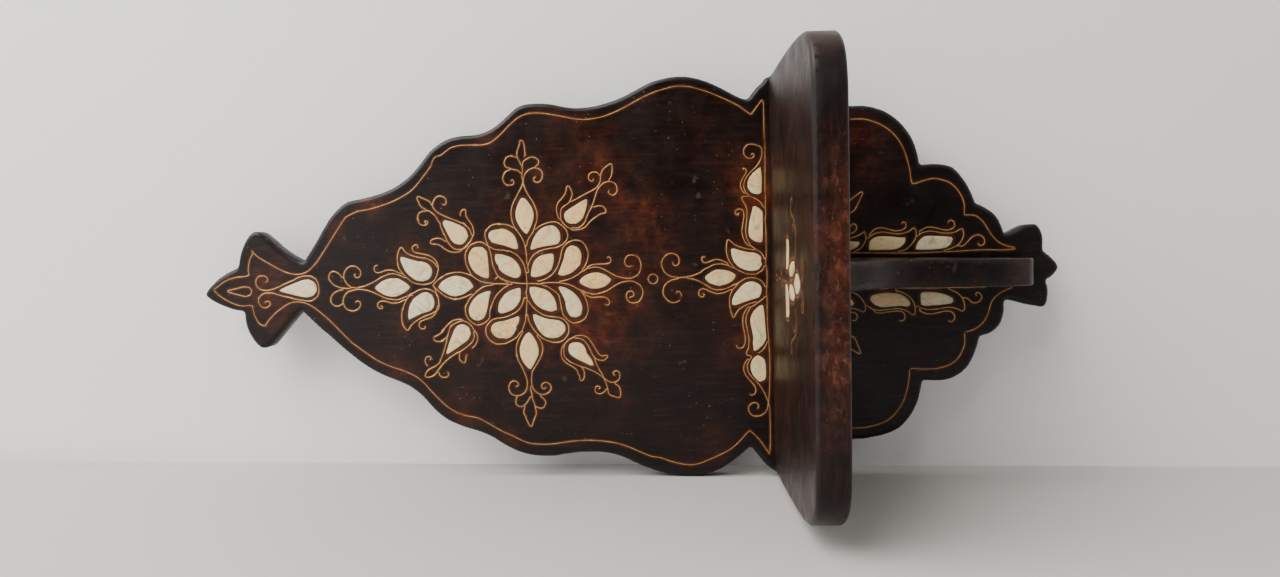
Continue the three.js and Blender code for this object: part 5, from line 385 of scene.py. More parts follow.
def slab(name, loop, rounded, front_r, back_r, thick, place, extra=(), pockets=(), back_pockets=(), back_extra=(),
         grid=6.0, lift=None, fields=(), angle=38):
    """A closed solid of even thickness. loop: outline; rounded: which of its points carry the rounding; pockets: (loop, depth).
    place(u, v, w) gives millimetres in the model's frame, w running into the material from the front face."""
    edge_tree = tree(spaced(loop[rounded], 0.3, False)) if rounded.any() and not rounded.all() else (tree(spaced(loop, 0.3, True)) if rounded.any() else None)
    verts, faces, tags = [], [], []
    rims = []
    step = np.hypot(*np.diff(loop, axis=0).T).mean()
    for side, r, holes, more in (("front", front_r, pockets, extra), ("back", back_r, back_pockets, back_extra)):
        free = [np.asarray(more, float).reshape(-1, 2)]
        nrm = normals(loop, True)
        if r > 0 and edge_tree is not None:
            for a in (14, 30, 48, 68, 90):
                free.append(loop - nrm * r * (1 - math.cos(math.radians(a))))
            free.append(loop - nrm * (r + 0.8))
        g = np.mgrid[loop[:, 0].min():loop[:, 0].max():grid, loop[:, 1].min():loop[:, 1].max():grid].reshape(2, -1).T
        g = g + (np.round(g[:, 1:] / grid) % 2) * [grid / 2, 0]
        near = tree(np.vstack([x for x in free if len(x)] + [loop])) if len(free) else None
        g = g[far(near, g) > grid * 0.55]
        free = thinned(np.vstack([x for x in free if len(x)] + [g]), 0.34)
        guard = tree(np.vstack([spaced(loop, 0.25, True)] + [spaced(l, 0.25, True) for l, _ in holes]))
        # rings that folded over in a tight corner come closer to the outline than their own inset
        d0 = far(guard, free)
        free = free[d0 > 0.13]
        p, tri, level, where = triangulated(loop, [l for l, _ in holes], free)
        d = far(edge_tree, p)
        w = np.where(d < r, r - np.sqrt(np.maximum(0, r * r - (r - np.minimum(d, r)) ** 2)), 0.0) if r > 0 else np.zeros(len(p))
        if lift is not None and side == "front":
            w = w + lift(p, d)
        depth = [None] + [x for _, x in holes]
        ids, table = {}, {}

        def vert(i, lv):
            key = (i, lv)
            if key not in ids:
                ww = w[i] if lv == 0 else depth[lv]
                if side == "back":
                    ww = thick - ww
                ids[key] = len(verts)
                verts.append((p[i][0], p[i][1], ww))
                tags.append(i if side == "front" else -1)
            return ids[key]

        for t, lv in zip(tri, level):
            faces.append([vert(i, lv) for i in t])
            for a, b in ((t[0], t[1]), (t[1], t[2]), (t[2], t[0])):
                table.setdefault((min(a, b), max(a, b)), []).append(lv)
        for (a, b), lv in table.items():
            if len(lv) == 2 and lv[0] != lv[1]:
                faces.append([vert(a, lv[0]), vert(b, lv[0]), vert(b, lv[1]), vert(a, lv[1])])
        rims.append([vert(where[i], 0) for i in range(len(loop))])
    f, b = rims
    n = len(loop)
    steps = max(1, min(4, int(round(thick / 5))))
    rows = [f]
    for s in range(1, steps):
        row = []
        for i in range(n):
            a, c = verts[f[i]], verts[b[i]]
            k = s / steps
            row.append(len(verts))
            verts.append((loop[i][0], loop[i][1], a[2] * (1 - k) + c[2] * k))
        rows.append(row)
    rows.append(b)
    for r0, r1 in zip(rows, rows[1:]):
        for i in range(n):
            j = (i + 1) % n
            faces.append([r0[i], r0[j], r1[j], r1[i]])
    v = np.array(verts)
    me = bpy.data.meshes.new(name)
    world = place(v[:, 0], v[:, 1], v[:, 2]) * MM
    me.from_pydata(world.tolist(), [], faces)
    bm = bmesh.new()
    bm.from_mesh(me)
    bmesh.ops.recalc_face_normals(bm, faces=bm.faces)
    bm.to_mesh(me)
    bm.free()
    for label, fn in fields:
        att = me.attributes.new(label, "FLOAT", "POINT")
        att.data.foreach_set("value", np.asarray(fn(v), np.float32))
    me.shade_smooth()
    me.set_sharp_from_angle(angle=math.radians(angle))
    o = bpy.data.objects.new(name, me)
    bpy.context.scene.collection.objects.link(o)
    return o


def strips(name, lines, place, width=0.56, proud=0.10, deep=0.35, seed=1):
    """Inlaid wires: thin closed bars with a crowned top, following lines on a face. place(u, v, w) as for slab."""
    verts, faces = [], []
    r = np.random.RandomState(seed)
    for line in lines:
        closed = len(line) > 3 and np.hypot(*(line[0] - line[-1])) < 0.05
        p = flowing(line, 0.8, False)
        if len(p) < 2:
            continue
        nn = normals(p, False)
        if closed:
            t = p[1] - p[-2]
            t = t / max(np.hypot(*t), 1e-9)
            nn[0] = nn[-1] = (t[1], -t[0])
        s = np.arange(len(p)) * 0.8
        ph = r.rand(4) * 6.28
        wd = width * (1 + 0.10 * np.sin(s / 3.1 + ph[0]) + 0.07 * np.sin(s / 1.3 + ph[1]))
        hop = proud * (1 + 0.25 * np.sin(s / 2.3 + ph[2]))
        end = np.minimum(1, 0.55 + 0.45 * np.minimum(s, s[-1] - s) / 0.9)
        wd = wd * end
        base = len(verts)
        prof = [(-0.5, deep), (-0.5, -0.02), (-0.27, -0.8), (0.0, -1.0), (0.27, -0.8), (0.5, -0.02), (0.5, deep)]
        m = len(prof)
        for i in range(len(p)):
            for a, h in prof:
                q = p[i] + nn[i] * a * wd[i]
                verts.append((q[0], q[1], h if h > 0 else h * hop[i]))
        for i in range(len(p) - 1):
            for k in range(m):
                a, b = base + i * m + k, base + i * m + (k + 1) % m
                faces.append([a, b, b + m, a + m])
        faces.append([base + k for k in range(m)][::-1])
        faces.append([base + (len(p) - 1) * m + k for k in range(m)])
    v = np.array(verts)
    me = bpy.data.meshes.new(name)
    me.from_pydata((place(v[:, 0], v[:, 1], v[:, 2]) * MM).tolist(), [], faces)
    bm = bmesh.new()
    bm.from_mesh(me)
    bmesh.ops.recalc_face_normals(bm, faces=bm.faces)
    bm.to_mesh(me)
    bm.free()
    me.shade_smooth()
    me.set_sharp_from_angle(angle=math.radians(50))
    o = bpy.data.objects.new(name, me)
    bpy.context.scene.collection.objects.link(o)
    return o


# ---------------------------------------------------------------- where things lie
def on_board(u, v, w):
    return np.stack([u, FRONT + w, v], -1)


def on_shelf(u, v, w):
    # the shelf was fixed a hair out of level
    return np.stack([u, FRONT - v, SHELF_TOP - w - 0.0052 * (u + 100)], -1)


def on_bracket(u, v, w):
    # u runs from the board (negative is outward), v is height, w across
    return np.stack([w - 11.0 + 0.6 + (v + 270) * 0.026, FRONT + u, v], -1)


def patchy(p, scale, seed):
    return np.array([noise.noise((a / scale + seed, b / scale - seed, seed * 1.7)) for a, b in p[:, :2]])


# ---------------------------------------------------------------- node helpers
class Mat:
    def __init__(self, name):
        self.m = bpy.data.materials.new(name)
        self.m.use_nodes = True
        self.t = self.m.node_tree
        self.b = self.t.nodes["Principled BSDF"]
        self.x = 0

    def node(self, kind, props=None, **ins):
        n = self.t.nodes.new(kind)
        for k, v in (props or {}).items():
            setattr(n, k, v)
        for k, v in ins.items():
            self.put(n, k.replace("_", " "), v)
        return n

    def put(self, n, key, v):
        s = n.inputs[key] if not isinstance(key, str) or key in n.inputs else n.inputs[int(key)]
        if isinstance(v, bpy.types.NodeSocket):
            self.t.links.new(v, s)
        elif isinstance(v, bpy.types.Node):
            self.t.links.new(v.outputs[0], s)
        else:
            s.default_value = v

    def math(self, op, a, b=0.0, c=None, clamp=False):
        n = self.t.nodes.new("ShaderNodeMath")
        n.operation, n.use_clamp = op, clamp
        for i, v in enumerate((a, b) if c is None else (a, b, c)):
            if isinstance(v, (bpy.types.NodeSocket, bpy.types.Node)):
                self.t.links.new(v if isinstance(v, bpy.types.NodeSocket) else v.outputs[0], n.inputs[i])
            else:
                n.inputs[i].default_value = v
        return n.outputs[0]

    def ramp(self, fac, *stops, mode="LINEAR"):
        n = self.t.nodes.new("ShaderNodeValToRGB")
        n.color_ramp.interpolation = mode
        e = n.color_ramp.elements
        while len(e) < len(stops):
            e.new(0.5)
        for q, (pos, col) in zip(e, stops):
            q.position = pos
            q.color = (col, col, col, 1) if isinstance(col, (int, float)) else (*col, 1)
        self.t.links.new(fac, n.inputs[0])
        return n.outputs[0]

    def span(self, v, a, b, c=0.0, d=1.0):
        n = self.t.nodes.new("ShaderNodeMapRange")
        n.interpolation_type = "SMOOTHSTEP"
        self.t.links.new(v, n.inputs[0])
        for i, k in enumerate((a, b, c, d)):
            n.inputs[i + 1].default_value = k
        return n.outputs[0]

    def mix(self, fac, a, b, mode="MIX"):
        n = self.t.nodes.new("ShaderNodeMix")
        n.data_type, n.blend_type = "RGBA", mode
        for i, v in ((0, fac), (6, a), (7, b)):
            if isinstance(v, bpy.types.NodeSocket):
                self.t.links.new(v, n.inputs[i])
            elif i == 0:
                n.inputs[i].default_value = v
            else:
                n.inputs[i].default_value = (*v, 1)
        return n.outputs[2]

    def coords(self, scale=(1, 1, 1), rot=(0, 0, 0), loc=(0, 0, 0)):
        t = self.node("ShaderNodeTexCoord")
        mp = self.node("ShaderNodeMapping")
        self.t.links.new(t.outputs["Object"], mp.inputs[0])
        mp.inputs["Location"].default_value = loc
        mp.inputs["Rotation"].default_value = rot
        mp.inputs["Scale"].default_value = scale
        return mp.outputs[0]

    def noise(self, vec, scale, detail=4.0, rough=0.55, dist=0.0):
        n = self.node("ShaderNodeTexNoise")
        self.t.links.new(vec, n.inputs["Vector"])
        n.inputs["Scale"].default_value = scale
        n.inputs["Detail"].default_value = detail
        n.inputs["Roughness"].default_value = rough
        n.inputs["Distortion"].default_value = dist
        return n.outputs[0]

    def attr(self, name):
        n = self.node("ShaderNodeAttribute")
        n.attribute_name = name
        return n.outputs["Fac"]

    def bump(self, height, dist, strength=1.0, on=None):
        n = self.node("ShaderNodeBump")
        n.inputs["Strength"].default_value = strength
        n.inputs["Distance"].default_value = dist
        self.t.links.new(height, n.inputs["Height"])
        if on is not None:
            self.t.links.new(on, n.inputs["Normal"])
        return n.outputs[0]


def wood(name, grain, tone=1.0, face=(math.pi / 2, 0, 0), wear=0.0, dull=0.0):
    """Dark stained and varnished wood. grain: mapping scale that stretches the fibres along the plank."""
    k = Mat(name)
    flat = k.coords()
    fib = k.coords(scale=grain)
    cloud = k.noise(flat, 9.0, 4.0, 0.55, 0.4)
    mott = k.noise(flat, 46.0, 6.0, 0.62, 0.5)
    fine = k.noise(fib, 5.0, 7.0, 0.66, 0.6)
    hair = k.noise(fib, 16.0, 3.0, 0.6, 0.1)
    mixv = k.math("ADD", k.math("MULTIPLY", cloud, 0.42), k.math("ADD", k.math("MULTIPLY", mott, 0.26), k.math("MULTIPLY", fine, 0.32)))
    dark = tuple(c * tone for c in (0.0024, 0.0014, 0.0013))
    mid = tuple(c * tone for c in (0.0054, 0.0024, 0.0018))
    warm = tuple(c * tone for c in (0.0160, 0.0052, 0.0028))
    col = k.ramp(mixv, (0.36, dark), (0.50, mid), (0.66, warm))
    gl = k.attr("glow")
    blotch = k.noise(flat, 125.0, 5.0, 0.7, 0.3)
    glf = k.math("MULTIPLY", gl, k.span(mixv, 0.34, 0.62, 0.35, 1.15))
    glf = k.math("MULTIPLY", glf, k.span(blotch, 0.38, 0.60, 0.35, 1.15), clamp=True)
    warmth = k.mix(k.span(k.noise(flat, 60.0, 3.0, 0.6, 0.4), 0.42, 0.60, 0.0, 1.0), (0.092, 0.0150, 0.0058), (0.112, 0.0280, 0.0095))
    col = k.mix(glf, col, warmth)
    # fine streaks along the fibres
    streak = k.noise(k.coords(scale=tuple(g * 3.2 for g in grain)), 1.0, 5.0, 0.7, 0.15)
    col = k.mix(k.span(streak, 0.50, 0.70, 0.0, 0.5 + 0.4 * wear), col, (0.030, 0.0135, 0.0100))
    col = k.mix(k.span(streak, 0.47, 0.33, 0.0, 0.55), col, (0.0022, 0.0014, 0.0013))
    if wear:
        # rubbed places: ochre and violet-brown blotches, and small dark nicks
        rub = k.noise(k.coords(scale=(150, 260, 260)), 1.0, 5.0, 0.66, 0.5)
        rub2 = k.noise(k.coords(scale=(85, 120, 120), loc=(5, 2, 1)), 1.0, 4.0, 0.6, 0.4)
        on = k.math("MULTIPLY", gl, wear, clamp=True)
        col = k.mix(k.math("MULTIPLY", k.span(rub, 0.50, 0.64, 0.0, 1.0), on), col, (0.155, 0.055, 0.026))
        col = k.mix(k.math("MULTIPLY", k.span(rub2, 0.52, 0.66, 0.0, 0.75), on), col, (0.078, 0.030, 0.028))
        nick = k.noise(k.coords(scale=(240, 620, 620), loc=(1, 7, 3)), 1.0, 3.0, 0.6, 0.2)
        col = k.mix(k.math("MULTIPLY", k.span(nick, 0.66, 0.72, 0.0, 0.85), k.span(gl, 0.0, 0.3, 0.3, 1.0)), col, (0.0035, 0.0020, 0.0018))
        col = k.mix(k.math("MULTIPLY", k.span(nick, 0.33, 0.28, 0.0, 0.6), k.span(gl, 0.0, 0.3, 0.25, 1.0)), col, (0.20, 0.115, 0.080))
    # stain that the inlay work left lighter and redder round each wire
    hf = k.span(k.attr("wire_d"), 0.5, 1.9, 0.85, 0.0)
    col = k.mix(k.math("MULTIPLY", hf, k.span(mott, 0.3, 0.62, 0.5, 1.0)), col, (0.098, 0.029, 0.0105))
    pd = k.attr("pearl_d")
    rimf = k.math("MULTIPLY", k.span(pd, 1.5, 2.9, 0.85, 0.0), k.span(mott, 0.3, 0.6, 0.5, 1.0))
    col = k.mix(rimf, col, (0.070, 0.0215, 0.0095))
    # a dark line right round each piece of mother-of-pearl: in part dark filler in the joint, in part painted shadow of
    # the seam
    col = k.mix(k.span(pd, 0.35, 1.0, 0.85, 0.0), col, (0.0075, 0.0037, 0.0030))
    rim = k.math("MULTIPLY", k.span(k.attr("edge_d"), 1.5, 7.0, 0.72, 0.0), k.span(gl, 0.1, 0.5, 1.0, 0.3))
    col = k.mix(rim, col, (0.0052, 0.0043, 0.0042))
    # hairline scratches and small dull spots in the varnish
    flatface = k.coords(rot=face)
    sc = None
    for n, (ang, dens) in enumerate(((0.25, 30), (1.35, 26), (2.3, 34))):
        v = k.noise(k.coords(scale=(dens, dens * 14, dens), rot=(face[0], face[1], ang), loc=(n * 3.7, 0, 0)), 1.6, 2.0, 0.5)
        one = k.span(v, 0.735, 0.775, 0.0, 1.0)
        sc = one if sc is None else k.math("ADD", sc, one, clamp=True)
    dust = None
    for size, share, rad in ((170.0, 0.975, 0.09), (95.0, 0.965, 0.045), (330.0, 0.965, 0.16)):
        vor = k.node("ShaderNodeTexVoronoi")
        vor.voronoi_dimensions = "2D"
        k.t.links.new(flatface, vor.inputs["Vector"])
        vor.inputs["Scale"].default_value = size
        bw = k.node("ShaderNodeSeparateColor")
        k.t.links.new(vor.outputs["Color"], bw.inputs[0])
        dot = k.math("MULTIPLY", k.span(vor.outputs["Distance"], rad * 0.4, rad, 1.0, 0.0), k.math("GREATER_THAN", bw.outputs[0], share))
        dot = k.math("MULTIPLY", dot, bw.outputs[1])
        dust = dot if dust is None else k.math("ADD", dust, dot, clamp=True)
    dust = k.math("MULTIPLY", dust, k.span(cloud, 0.42, 0.58, 0.15, 1.0))
    col = k.mix(k.math("MULTIPLY", sc, 0.30), col, (0.095, 0.066, 0.052))
    col = k.mix(k.math("MULTIPLY", dust, 0.8), col, (0.30, 0.26, 0.235))
    k.t.links.new(col, k.b.inputs["Base Color"])
    ro = k.math("ADD", k.span(mott, 0.3, 0.7, 0.27 + dull, 0.42 + dull), k.math("MULTIPLY", k.math("ADD", dust, sc, clamp=True), 0.2))
    ro = k.math("ADD", ro, k.span(k.attr("edge_d"), 0.0, 2.2, 0.2, 0.0))
    k.t.links.new(ro, k.b.inputs["Roughness"])
    k.b.inputs["Specular IOR Level"].default_value = 0.20
    k.b.inputs["IOR"].default_value = 1.5
    k.b.inputs["Coat Weight"].default_value = 0.08 if not dull else 0.0
    k.b.inputs["Coat Roughness"].default_value = 0.25
    h = k.math("ADD", k.math("MULTIPLY", fine, 0.55), k.math("MULTIPLY", hair, 0.3))
    nb = k.bump(h, 0.00022, 0.55)
    nb = k.bump(k.noise(flat, 17.0, 2.0, 0.5), 0.0012, 0.35, nb)
    nb = k.bump(k.math("MULTIPLY", dust, 1.0), 0.0001, 0.6, nb)
    k.t.links.new(nb, k.b.inputs["Normal"])
    return k.m


# how warm and how pale each piece of mother-of-pearl is
PEARL_TONE = {
    "nacre_finial_drop": (0, 1),
    "nacre_crown_almond": (0.15, 1),
    "nacre_crown_leaf_l": (0, 1),
    "nacre_crown_leaf_r": (0.05, 1),
    "nacre_rosette_top": (0.2, 1),
    "nacre_drop_upper_l": (0.5, 1),
    "nacre_drop_upper_r": (0.6, 1),
    "nacre_petal_top_l": (0.6, 0.9),
    "nacre_petal_top_r": (0.8, 0.9),
    "nacre_petal_side_upper_l": (1, 0.8),
    "nacre_petal_side_upper_r": (0.7, 1),
    "nacre_inner_upper_l": (0.4, 1),
    "nacre_inner_upper_r": (0.6, 1),
    "nacre_rosette_left": (0.7, 1),
    "nacre_rosette_right": (0.6, 1),
    "nacre_inner_lower_l": (0.6, 1),
    "nacre_inner_lower_r": (0.7, 1),
    "nacre_petal_side_lower_l": (0.6, 0.9),
    "nacre_petal_side_lower_r": (0.6, 0.9),
    "nacre_petal_bottom_l": (0.4, 1),
    "nacre_petal_bottom_r": (0.8, 1),
    "nacre_drop_lower_l": (0.6, 0.9),
    "nacre_drop_lower_r": (0.9, 0.9),
    "nacre_rosette_bottom": (0.9, 0.9),
    "nacre_row_almond": (0.6, 0.7),
    "nacre_row_leaf_l": (0.2, 1),
    "nacre_row_leaf_r": (0.4, 0.9),
    "nacre_row_mid_l": (0.5, 0.8),
    "nacre_row_mid_r": (0.6, 0.9),
    "nacre_row_end_l": (0.5, 0.7),
    "nacre_row_end_r": (0.7, 0.8),
    "nacre_low_bottom_r": (0.0, 1),
    "nacre_low_bottom_l": (0.0, 1),
    "nacre_low_mid_l": (0.55, 0.65),
    "nacre_low_mid_r": (0.45, 1),
    "nacre_low_top_l": (0.7, 1),
    "nacre_low_top_r": (0.6, 1),
    "nacre_shelf_bar_l": (0.4, 0.8),
    "nacre_shelf_bar_r": (0.4, 0.8),
    "nacre_shelf_leaf_l": (0.4, 0.8),
    "nacre_shelf_leaf_r": (0.4, 0.8),
    "nacre_shelf_almond": (0.4, 0.8),
}


def pearl_mat():
    """Mother-of-pearl: milky ground, soft bands of growth, faint green and rose lights."""
    k = Mat("nacre_looks")
    flat = k.coords()
    tone = k.attr("tone")
    turn = k.attr("turn")
    vec = k.node("ShaderNodeVectorRotate")
    vec.rotation_type = "AXIS_ANGLE"
    k.t.links.new(flat, vec.inputs["Vector"])
    vec.inputs["Axis"].default_value = (0, 1, 0)
    k.t.links.new(turn, vec.inputs["Angle"])
    cl = k.noise(flat, 90.0, 5.0, 0.6, 1.2)
    st = k.node("ShaderNodeMapping")
    k.t.links.new(vec.outputs[0], st.inputs[0])
    st.inputs["Scale"].default_value = (260, 260, 46)
    band = k.noise(st.outputs[0], 1.0, 3.5, 0.55, 1.2)
    st2 = k.node("ShaderNodeMapping")
    k.t.links.new(vec.outputs[0], st2.inputs[0])
    st2.inputs["Scale"].default_value = (105, 105, 55)
    hue = k.noise(st2.outputs[0], 1.0, 3.0, 0.5, 2.0)
    ground = k.mix(tone, (0.75, 0.655, 0.41), (0.86, 0.510, 0.150))
    value = k.ramp(band, (0.28, 0.74), (0.42, 0.92), (0.54, 1.0), (0.66, 1.05), (0.80, 0.96))
    base = k.mix(1.0, ground, value, "MULTIPLY")
    lit = k.span(k.attr("light"), 0.0, 1.0, 0.45, 1.0)
    cool = k.mix(1.0, base, lit, "MULTIPLY")
    rose = k.mix(k.span(hue, 0.52, 0.64, 0.0, 0.50), cool, (0.86, 0.50, 0.27))
    green = k.mix(k.span(hue, 0.48, 0.36, 0.0, 0.60), rose, (0.64, 0.68, 0.45))
    fleck = k.noise(st.outputs[0], 3.4, 3.0, 0.6, 0.6)
    pale = k.mix(k.span(fleck, 0.54, 0.72, 0.0, 0.30), green, (0.90, 0.86, 0.72))
    shade = k.mix(k.span(cl, 0.32, 0.46, 0.60, 0.0), pale, (0.42, 0.27, 0.14))
    crack = k.node("ShaderNodeTexVoronoi")
    crack.feature = "DISTANCE_TO_EDGE"
    wob = k.node("ShaderNodeVectorMath")
    wob.operation = "ADD"
    k.t.links.new(vec.outputs[0], wob.inputs[0])
    wn = k.node("ShaderNodeTexNoise")
    k.t.links.new(flat, wn.inputs["Vector"])
    wn.inputs["Scale"].default_value = 160.0
    sc = k.node("ShaderNodeVectorMath")
    sc.operation = "SCALE"
    k.t.links.new(wn.outputs[1], sc.inputs[0])
    sc.inputs["Scale"].default_value = 0.006
    k.t.links.new(sc.outputs[0], wob.inputs[1])
    k.t.links.new(wob.outputs[0], crack.inputs["Vector"])
    crack.inputs["Scale"].default_value = 48.0
    cf = k.math("MULTIPLY", k.span(crack.outputs["Distance"], 0.0, 0.020, 1.0, 0.0), k.span(cl, 0.54, 0.66, 0.0, 0.5))
    col = k.mix(cf, shade, (0.24, 0.17, 0.115))
    col = k.mix(k.span(k.attr("edge_d"), 0.0, 0.75, 0.62, 0.0), col, (0.27, 0.185, 0.115))
    k.t.links.new(col, k.b.inputs["Base Color"])
    k.t.links.new(k.span(cl, 0.3, 0.7, 0.2, 0.38), k.b.inputs["Roughness"])
    k.b.inputs["Coat Weight"].default_value = 0.5
    k.b.inputs["Coat Roughness"].default_value = 0.12
    k.b.inputs["Subsurface Weight"].default_value = 0.0
    nb = k.bump(band, 0.00004, 0.4)
    nb = k.bump(cl, 0.0004, 0.30, nb)
    k.t.links.new(nb, k.b.inputs["Normal"])
    return k.m


def brass(name, base=(0.78, 0.47, 0.165), dull=(0.38, 0.18, 0.056), rough=(0.34, 0.52), metal=0.75, scale=1.0):
    k = Mat(name)
    flat = k.coords()
    a = k.noise(flat, 130.0 * scale, 4.0, 0.6, 0.4)
    b = k.noise(flat, 620.0 * scale, 3.0, 0.6)
    v = k.math("ADD", k.math("MULTIPLY", a, 0.6), k.math("MULTIPLY", b, 0.4))
    col = k.ramp(v, (0.34, dull), (0.5, tuple((x + y) / 2 for x, y in zip(base, dull))), (0.6, base), (0.75, tuple(min(1, x * 1.25) for x in base)))
    k.t.links.new(col, k.b.inputs["Base Color"])
    k.t.links.new(k.span(b, 0.3, 0.7, *rough), k.b.inputs["Roughness"])
    k.b.inputs["Metallic"].default_value = metal
    k.t.links.new(k.bump(v, 0.00008, 0.6), k.b.inputs["Normal"])
    return k.m


def steel():
    k = Mat("steel_looks")
    flat = k.coords()
    a = k.noise(flat, 300.0, 5.0, 0.65, 0.5)
    ring = k.noise(k.coords(scale=(900, 900, 900)), 1.0, 2.0, 0.5)
    col = k.ramp(a, (0.3, (0.10, 0.085, 0.075)), (0.5, (0.34, 0.33, 0.32)), (0.7, (0.52, 0.515, 0.50)))
    k.t.links.new(col, k.b.inputs["Base Color"])
    k.t.links.new(k.span(a, 0.3, 0.7, 0.55, 0.3), k.b.inputs["Roughness"])
    k.b.inputs["Metallic"].default_value = 0.9
    k.t.links.new(k.bump(ring, 0.00005, 0.5), k.b.inputs["Normal"])
    return k.m


# ---------------------------------------------------------------- curves that everything shares
outline = flowing(pairs(OUTLINE), 1.3, True, 30.0)
pearls = {n: flowing(pairs(a), 0.7, True, 42.0) for n, a in PEARL.items()}
shelf_pearls = {n: flowing(pairs(a), 0.7, True, 42.0) for n, a in SHELF_PEARL.items()}
border = {n: pairs(a) for n, a in BORDER.items()}
border["ring"] = np.vstack([border["ring"], border["ring"][:1]])
scroll = [pairs(a) for a in SCROLLS]
wire_dense = np.vstack([flowing(l, 0.5, False) for l in list(border.values()) + scroll])
pearl_dense = np.vstack([spaced(l, 0.4, True) for l in pearls.values()])
wire_tree, pearl_tree, rim_tree = tree(wire_dense), tree(pearl_dense), tree(spaced(outline, 0.5, True))

# warm places in the stain, the last two of them reddish glints on the rim that are in part worn stain and in part
# painted highlight: x, z, radius, strength
GLOW = [(85, 12, 17, 0.55), (68, -5, 17, 0.6), (54, -18, 16, 0.4), (-30, 28, 24, 0.95), (-38, 12, 22, 0.4), (-40, 120, 17, 0.6),
        (72, 207, 11, 0.5), (30, 180, 14, 0.5), (-25, 180, 15, 0.5), (15, 158, 16, 0.3), (0, 75, 60, 0.42), (-135, 100, 13, 0.6),
        (-75, 197, 15, 0.5), (-110, 140, 16, 0.4), (-15, -100, 20, 0.5), (30, -96, 16, 0.5), (85, -100, 22, 0.4), (-60, -106, 22, 0.7),
        (62, -106, 22, 0.8), (135, 50, 15, 0.4), (125, -70, 22, 0.3), (128, 112, 14, 0.4), (-145, -65, 18, 0.4), (115, -185, 15, 0.4),
        (65, -180, 22, 0.3), (40, -20, 32, 0.12), (0, -12, 42, 0.2), (60, 60, 32, 0.2), (0, 300, 18, 0.5), (-30, 285, 15, 0.35),
        (25, 290, 14, 0.3), (10, 40, 70, 0.14), (112, 24, 17, 0.55), (100, 60, 16, 0.25), (-95, 20, 20, 0.2),
        # the last two entries paint reddish glints on the rim: in part worn stain, in part painted highlight
        (95, -205, 20, 0.35), (52, 240, 9, 0.7), (66, 212, 8, 0.6)]


def glow_at(v):
    g = np.zeros(len(v))
    for x, z, r, s in GLOW:
        g += s * np.exp(-((v[:, 0] - x) ** 2 + (v[:, 1] - z) ** 2) / (2 * (r * 0.75) ** 2))
    return np.clip(g * (0.75 + 0.9 * patchy(v, 16.0, 3.1)), 0, 1)


# ---------------------------------------------------------------- back board
def ring_points(loop, ds):
    n = normals(loop, True)
    return np.vstack([loop + n * d for d in ds])


lines_for_points = [flowing(l, 1.05, False) for l in list(border.values()) + scroll]
along = []
for l in lines_for_points:
    nn = normals(l, False)
    for d in (-2.6, -1.7, -1.0, -0.5, 0.5, 1.0, 1.7, 2.6):
        along.append(l + nn * d)
around = [ring_points(l, (0.75, 1.4, 2.2, 3.1)) for l in pearls.values()]
extra = np.vstack(around + along)
extra = extra[far(rim_tree, extra) > 4.2]
seats = []
for n, l in pearls.items():
    seats.append((l + normals(l, True) * 0.3, 2.1))


def board_lift(p, d):
    return 0.045 * patchy(p, 34.0, 5.0) + 0.02 * patchy(p, 9.0, 8.0)


def circle(x, z, r, n=28):
    a = np.linspace(0, 2 * math.pi, n, endpoint=False)
    return np.stack([x + r * np.cos(a), z + r * np.sin(a)], 1)


def stadium(cx, cz, half, tall, n=16):
    c = tall / 2 - half
    a = np.linspace(0, math.pi, n)
    return np.vstack([np.stack([cx + half * np.cos(a), cz + c + half * np.sin(a)], 1), np.stack([cx + half * np.cos(a + math.pi), cz - c + half * np.sin(a + math.pi)], 1)])


keyhole_box = np.array([(-7, 208), (7, 208), (7, 242), (-7, 242)], float)
back_holes = [(stadium(0, 226, 12.35, 58.7), 2.5), (spaced(keyhole_box, 2.0, True), 10.0)]
back_holes += [(circle(x, z, 4.5), 4.2) for x, z in ((-112, -128.3), (-32, -128.3), (112, -128.3), (3.5, -196), (0.5, -272))]
back_extra = np.vstack([ring_points(l, (0.8, 2.0)) for l, _ in [back_holes[0]] + back_holes[2:]])

board = slab("board_carved", outline, np.ones(len(outline), bool), 3.6, 0.9, 16.0, on_board, extra=extra, pockets=seats,
             back_pockets=back_holes, back_extra=back_extra, grid=3.4, lift=board_lift,
             fields=(("wire_d", lambda v: np.where(v[:, 2] < 1.0, far(wire_tree, v[:, :2]), 9.0)),
                     ("pearl_d", lambda v: np.where(v[:, 2] < 3.0, far(pearl_tree, v[:, :2]), 9.0)),
                     ("edge_d", lambda v: far(rim_tree, v[:, :2])),
                     ("glow", lambda v: np.where(v[:, 2] < 6, glow_at(v), 0.15 * glow_at(v)))))
board_wood = wood("dark_wood_board", (95, 95, 9))
board.data.materials.append(board_wood)
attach(board, "root")
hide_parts("back_board")

# ---------------------------------------------------------------- mother-of-pearl
nacre = pearl_mat()


def pearl_piece(node, loop, place, k):
    kt = tree(spaced(loop, 0.3, True))
    warm, light = PEARL_TONE.get(node, (0.4, 0.5))
    c = loop - loop.mean(0)
    _, _, vt = np.linalg.svd(c)
    turn = math.atan2(vt[0][0], vt[0][1]) + rnd.uniform(-0.35, 0.35)
    shift = rnd.rand()
    o = slab(node.replace("nacre_", "pearl_"), loop, np.ones(len(loop), bool), 0.32, 0.1, PEARL_DEPTH, place, grid=1.9,
             lift=lambda p, d: -0.03 - 0.07 * (1 - np.exp(-d / 1.6)) + 0.03 * patchy(p, 5.0, shift * 9),
             fields=(("tone", lambda v: np.full(len(v), warm)), ("turn", lambda v: np.full(len(v), turn)), ("light", lambda v: np.full(len(v), light)),
                     ("edge_d", lambda v: np.where(v[:, 2] < 0.6, far(kt, v[:, :2]), 0.0))), angle=60)
    o.data.materials.append(nacre)
    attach(o, "root")
    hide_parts(node)
    return o


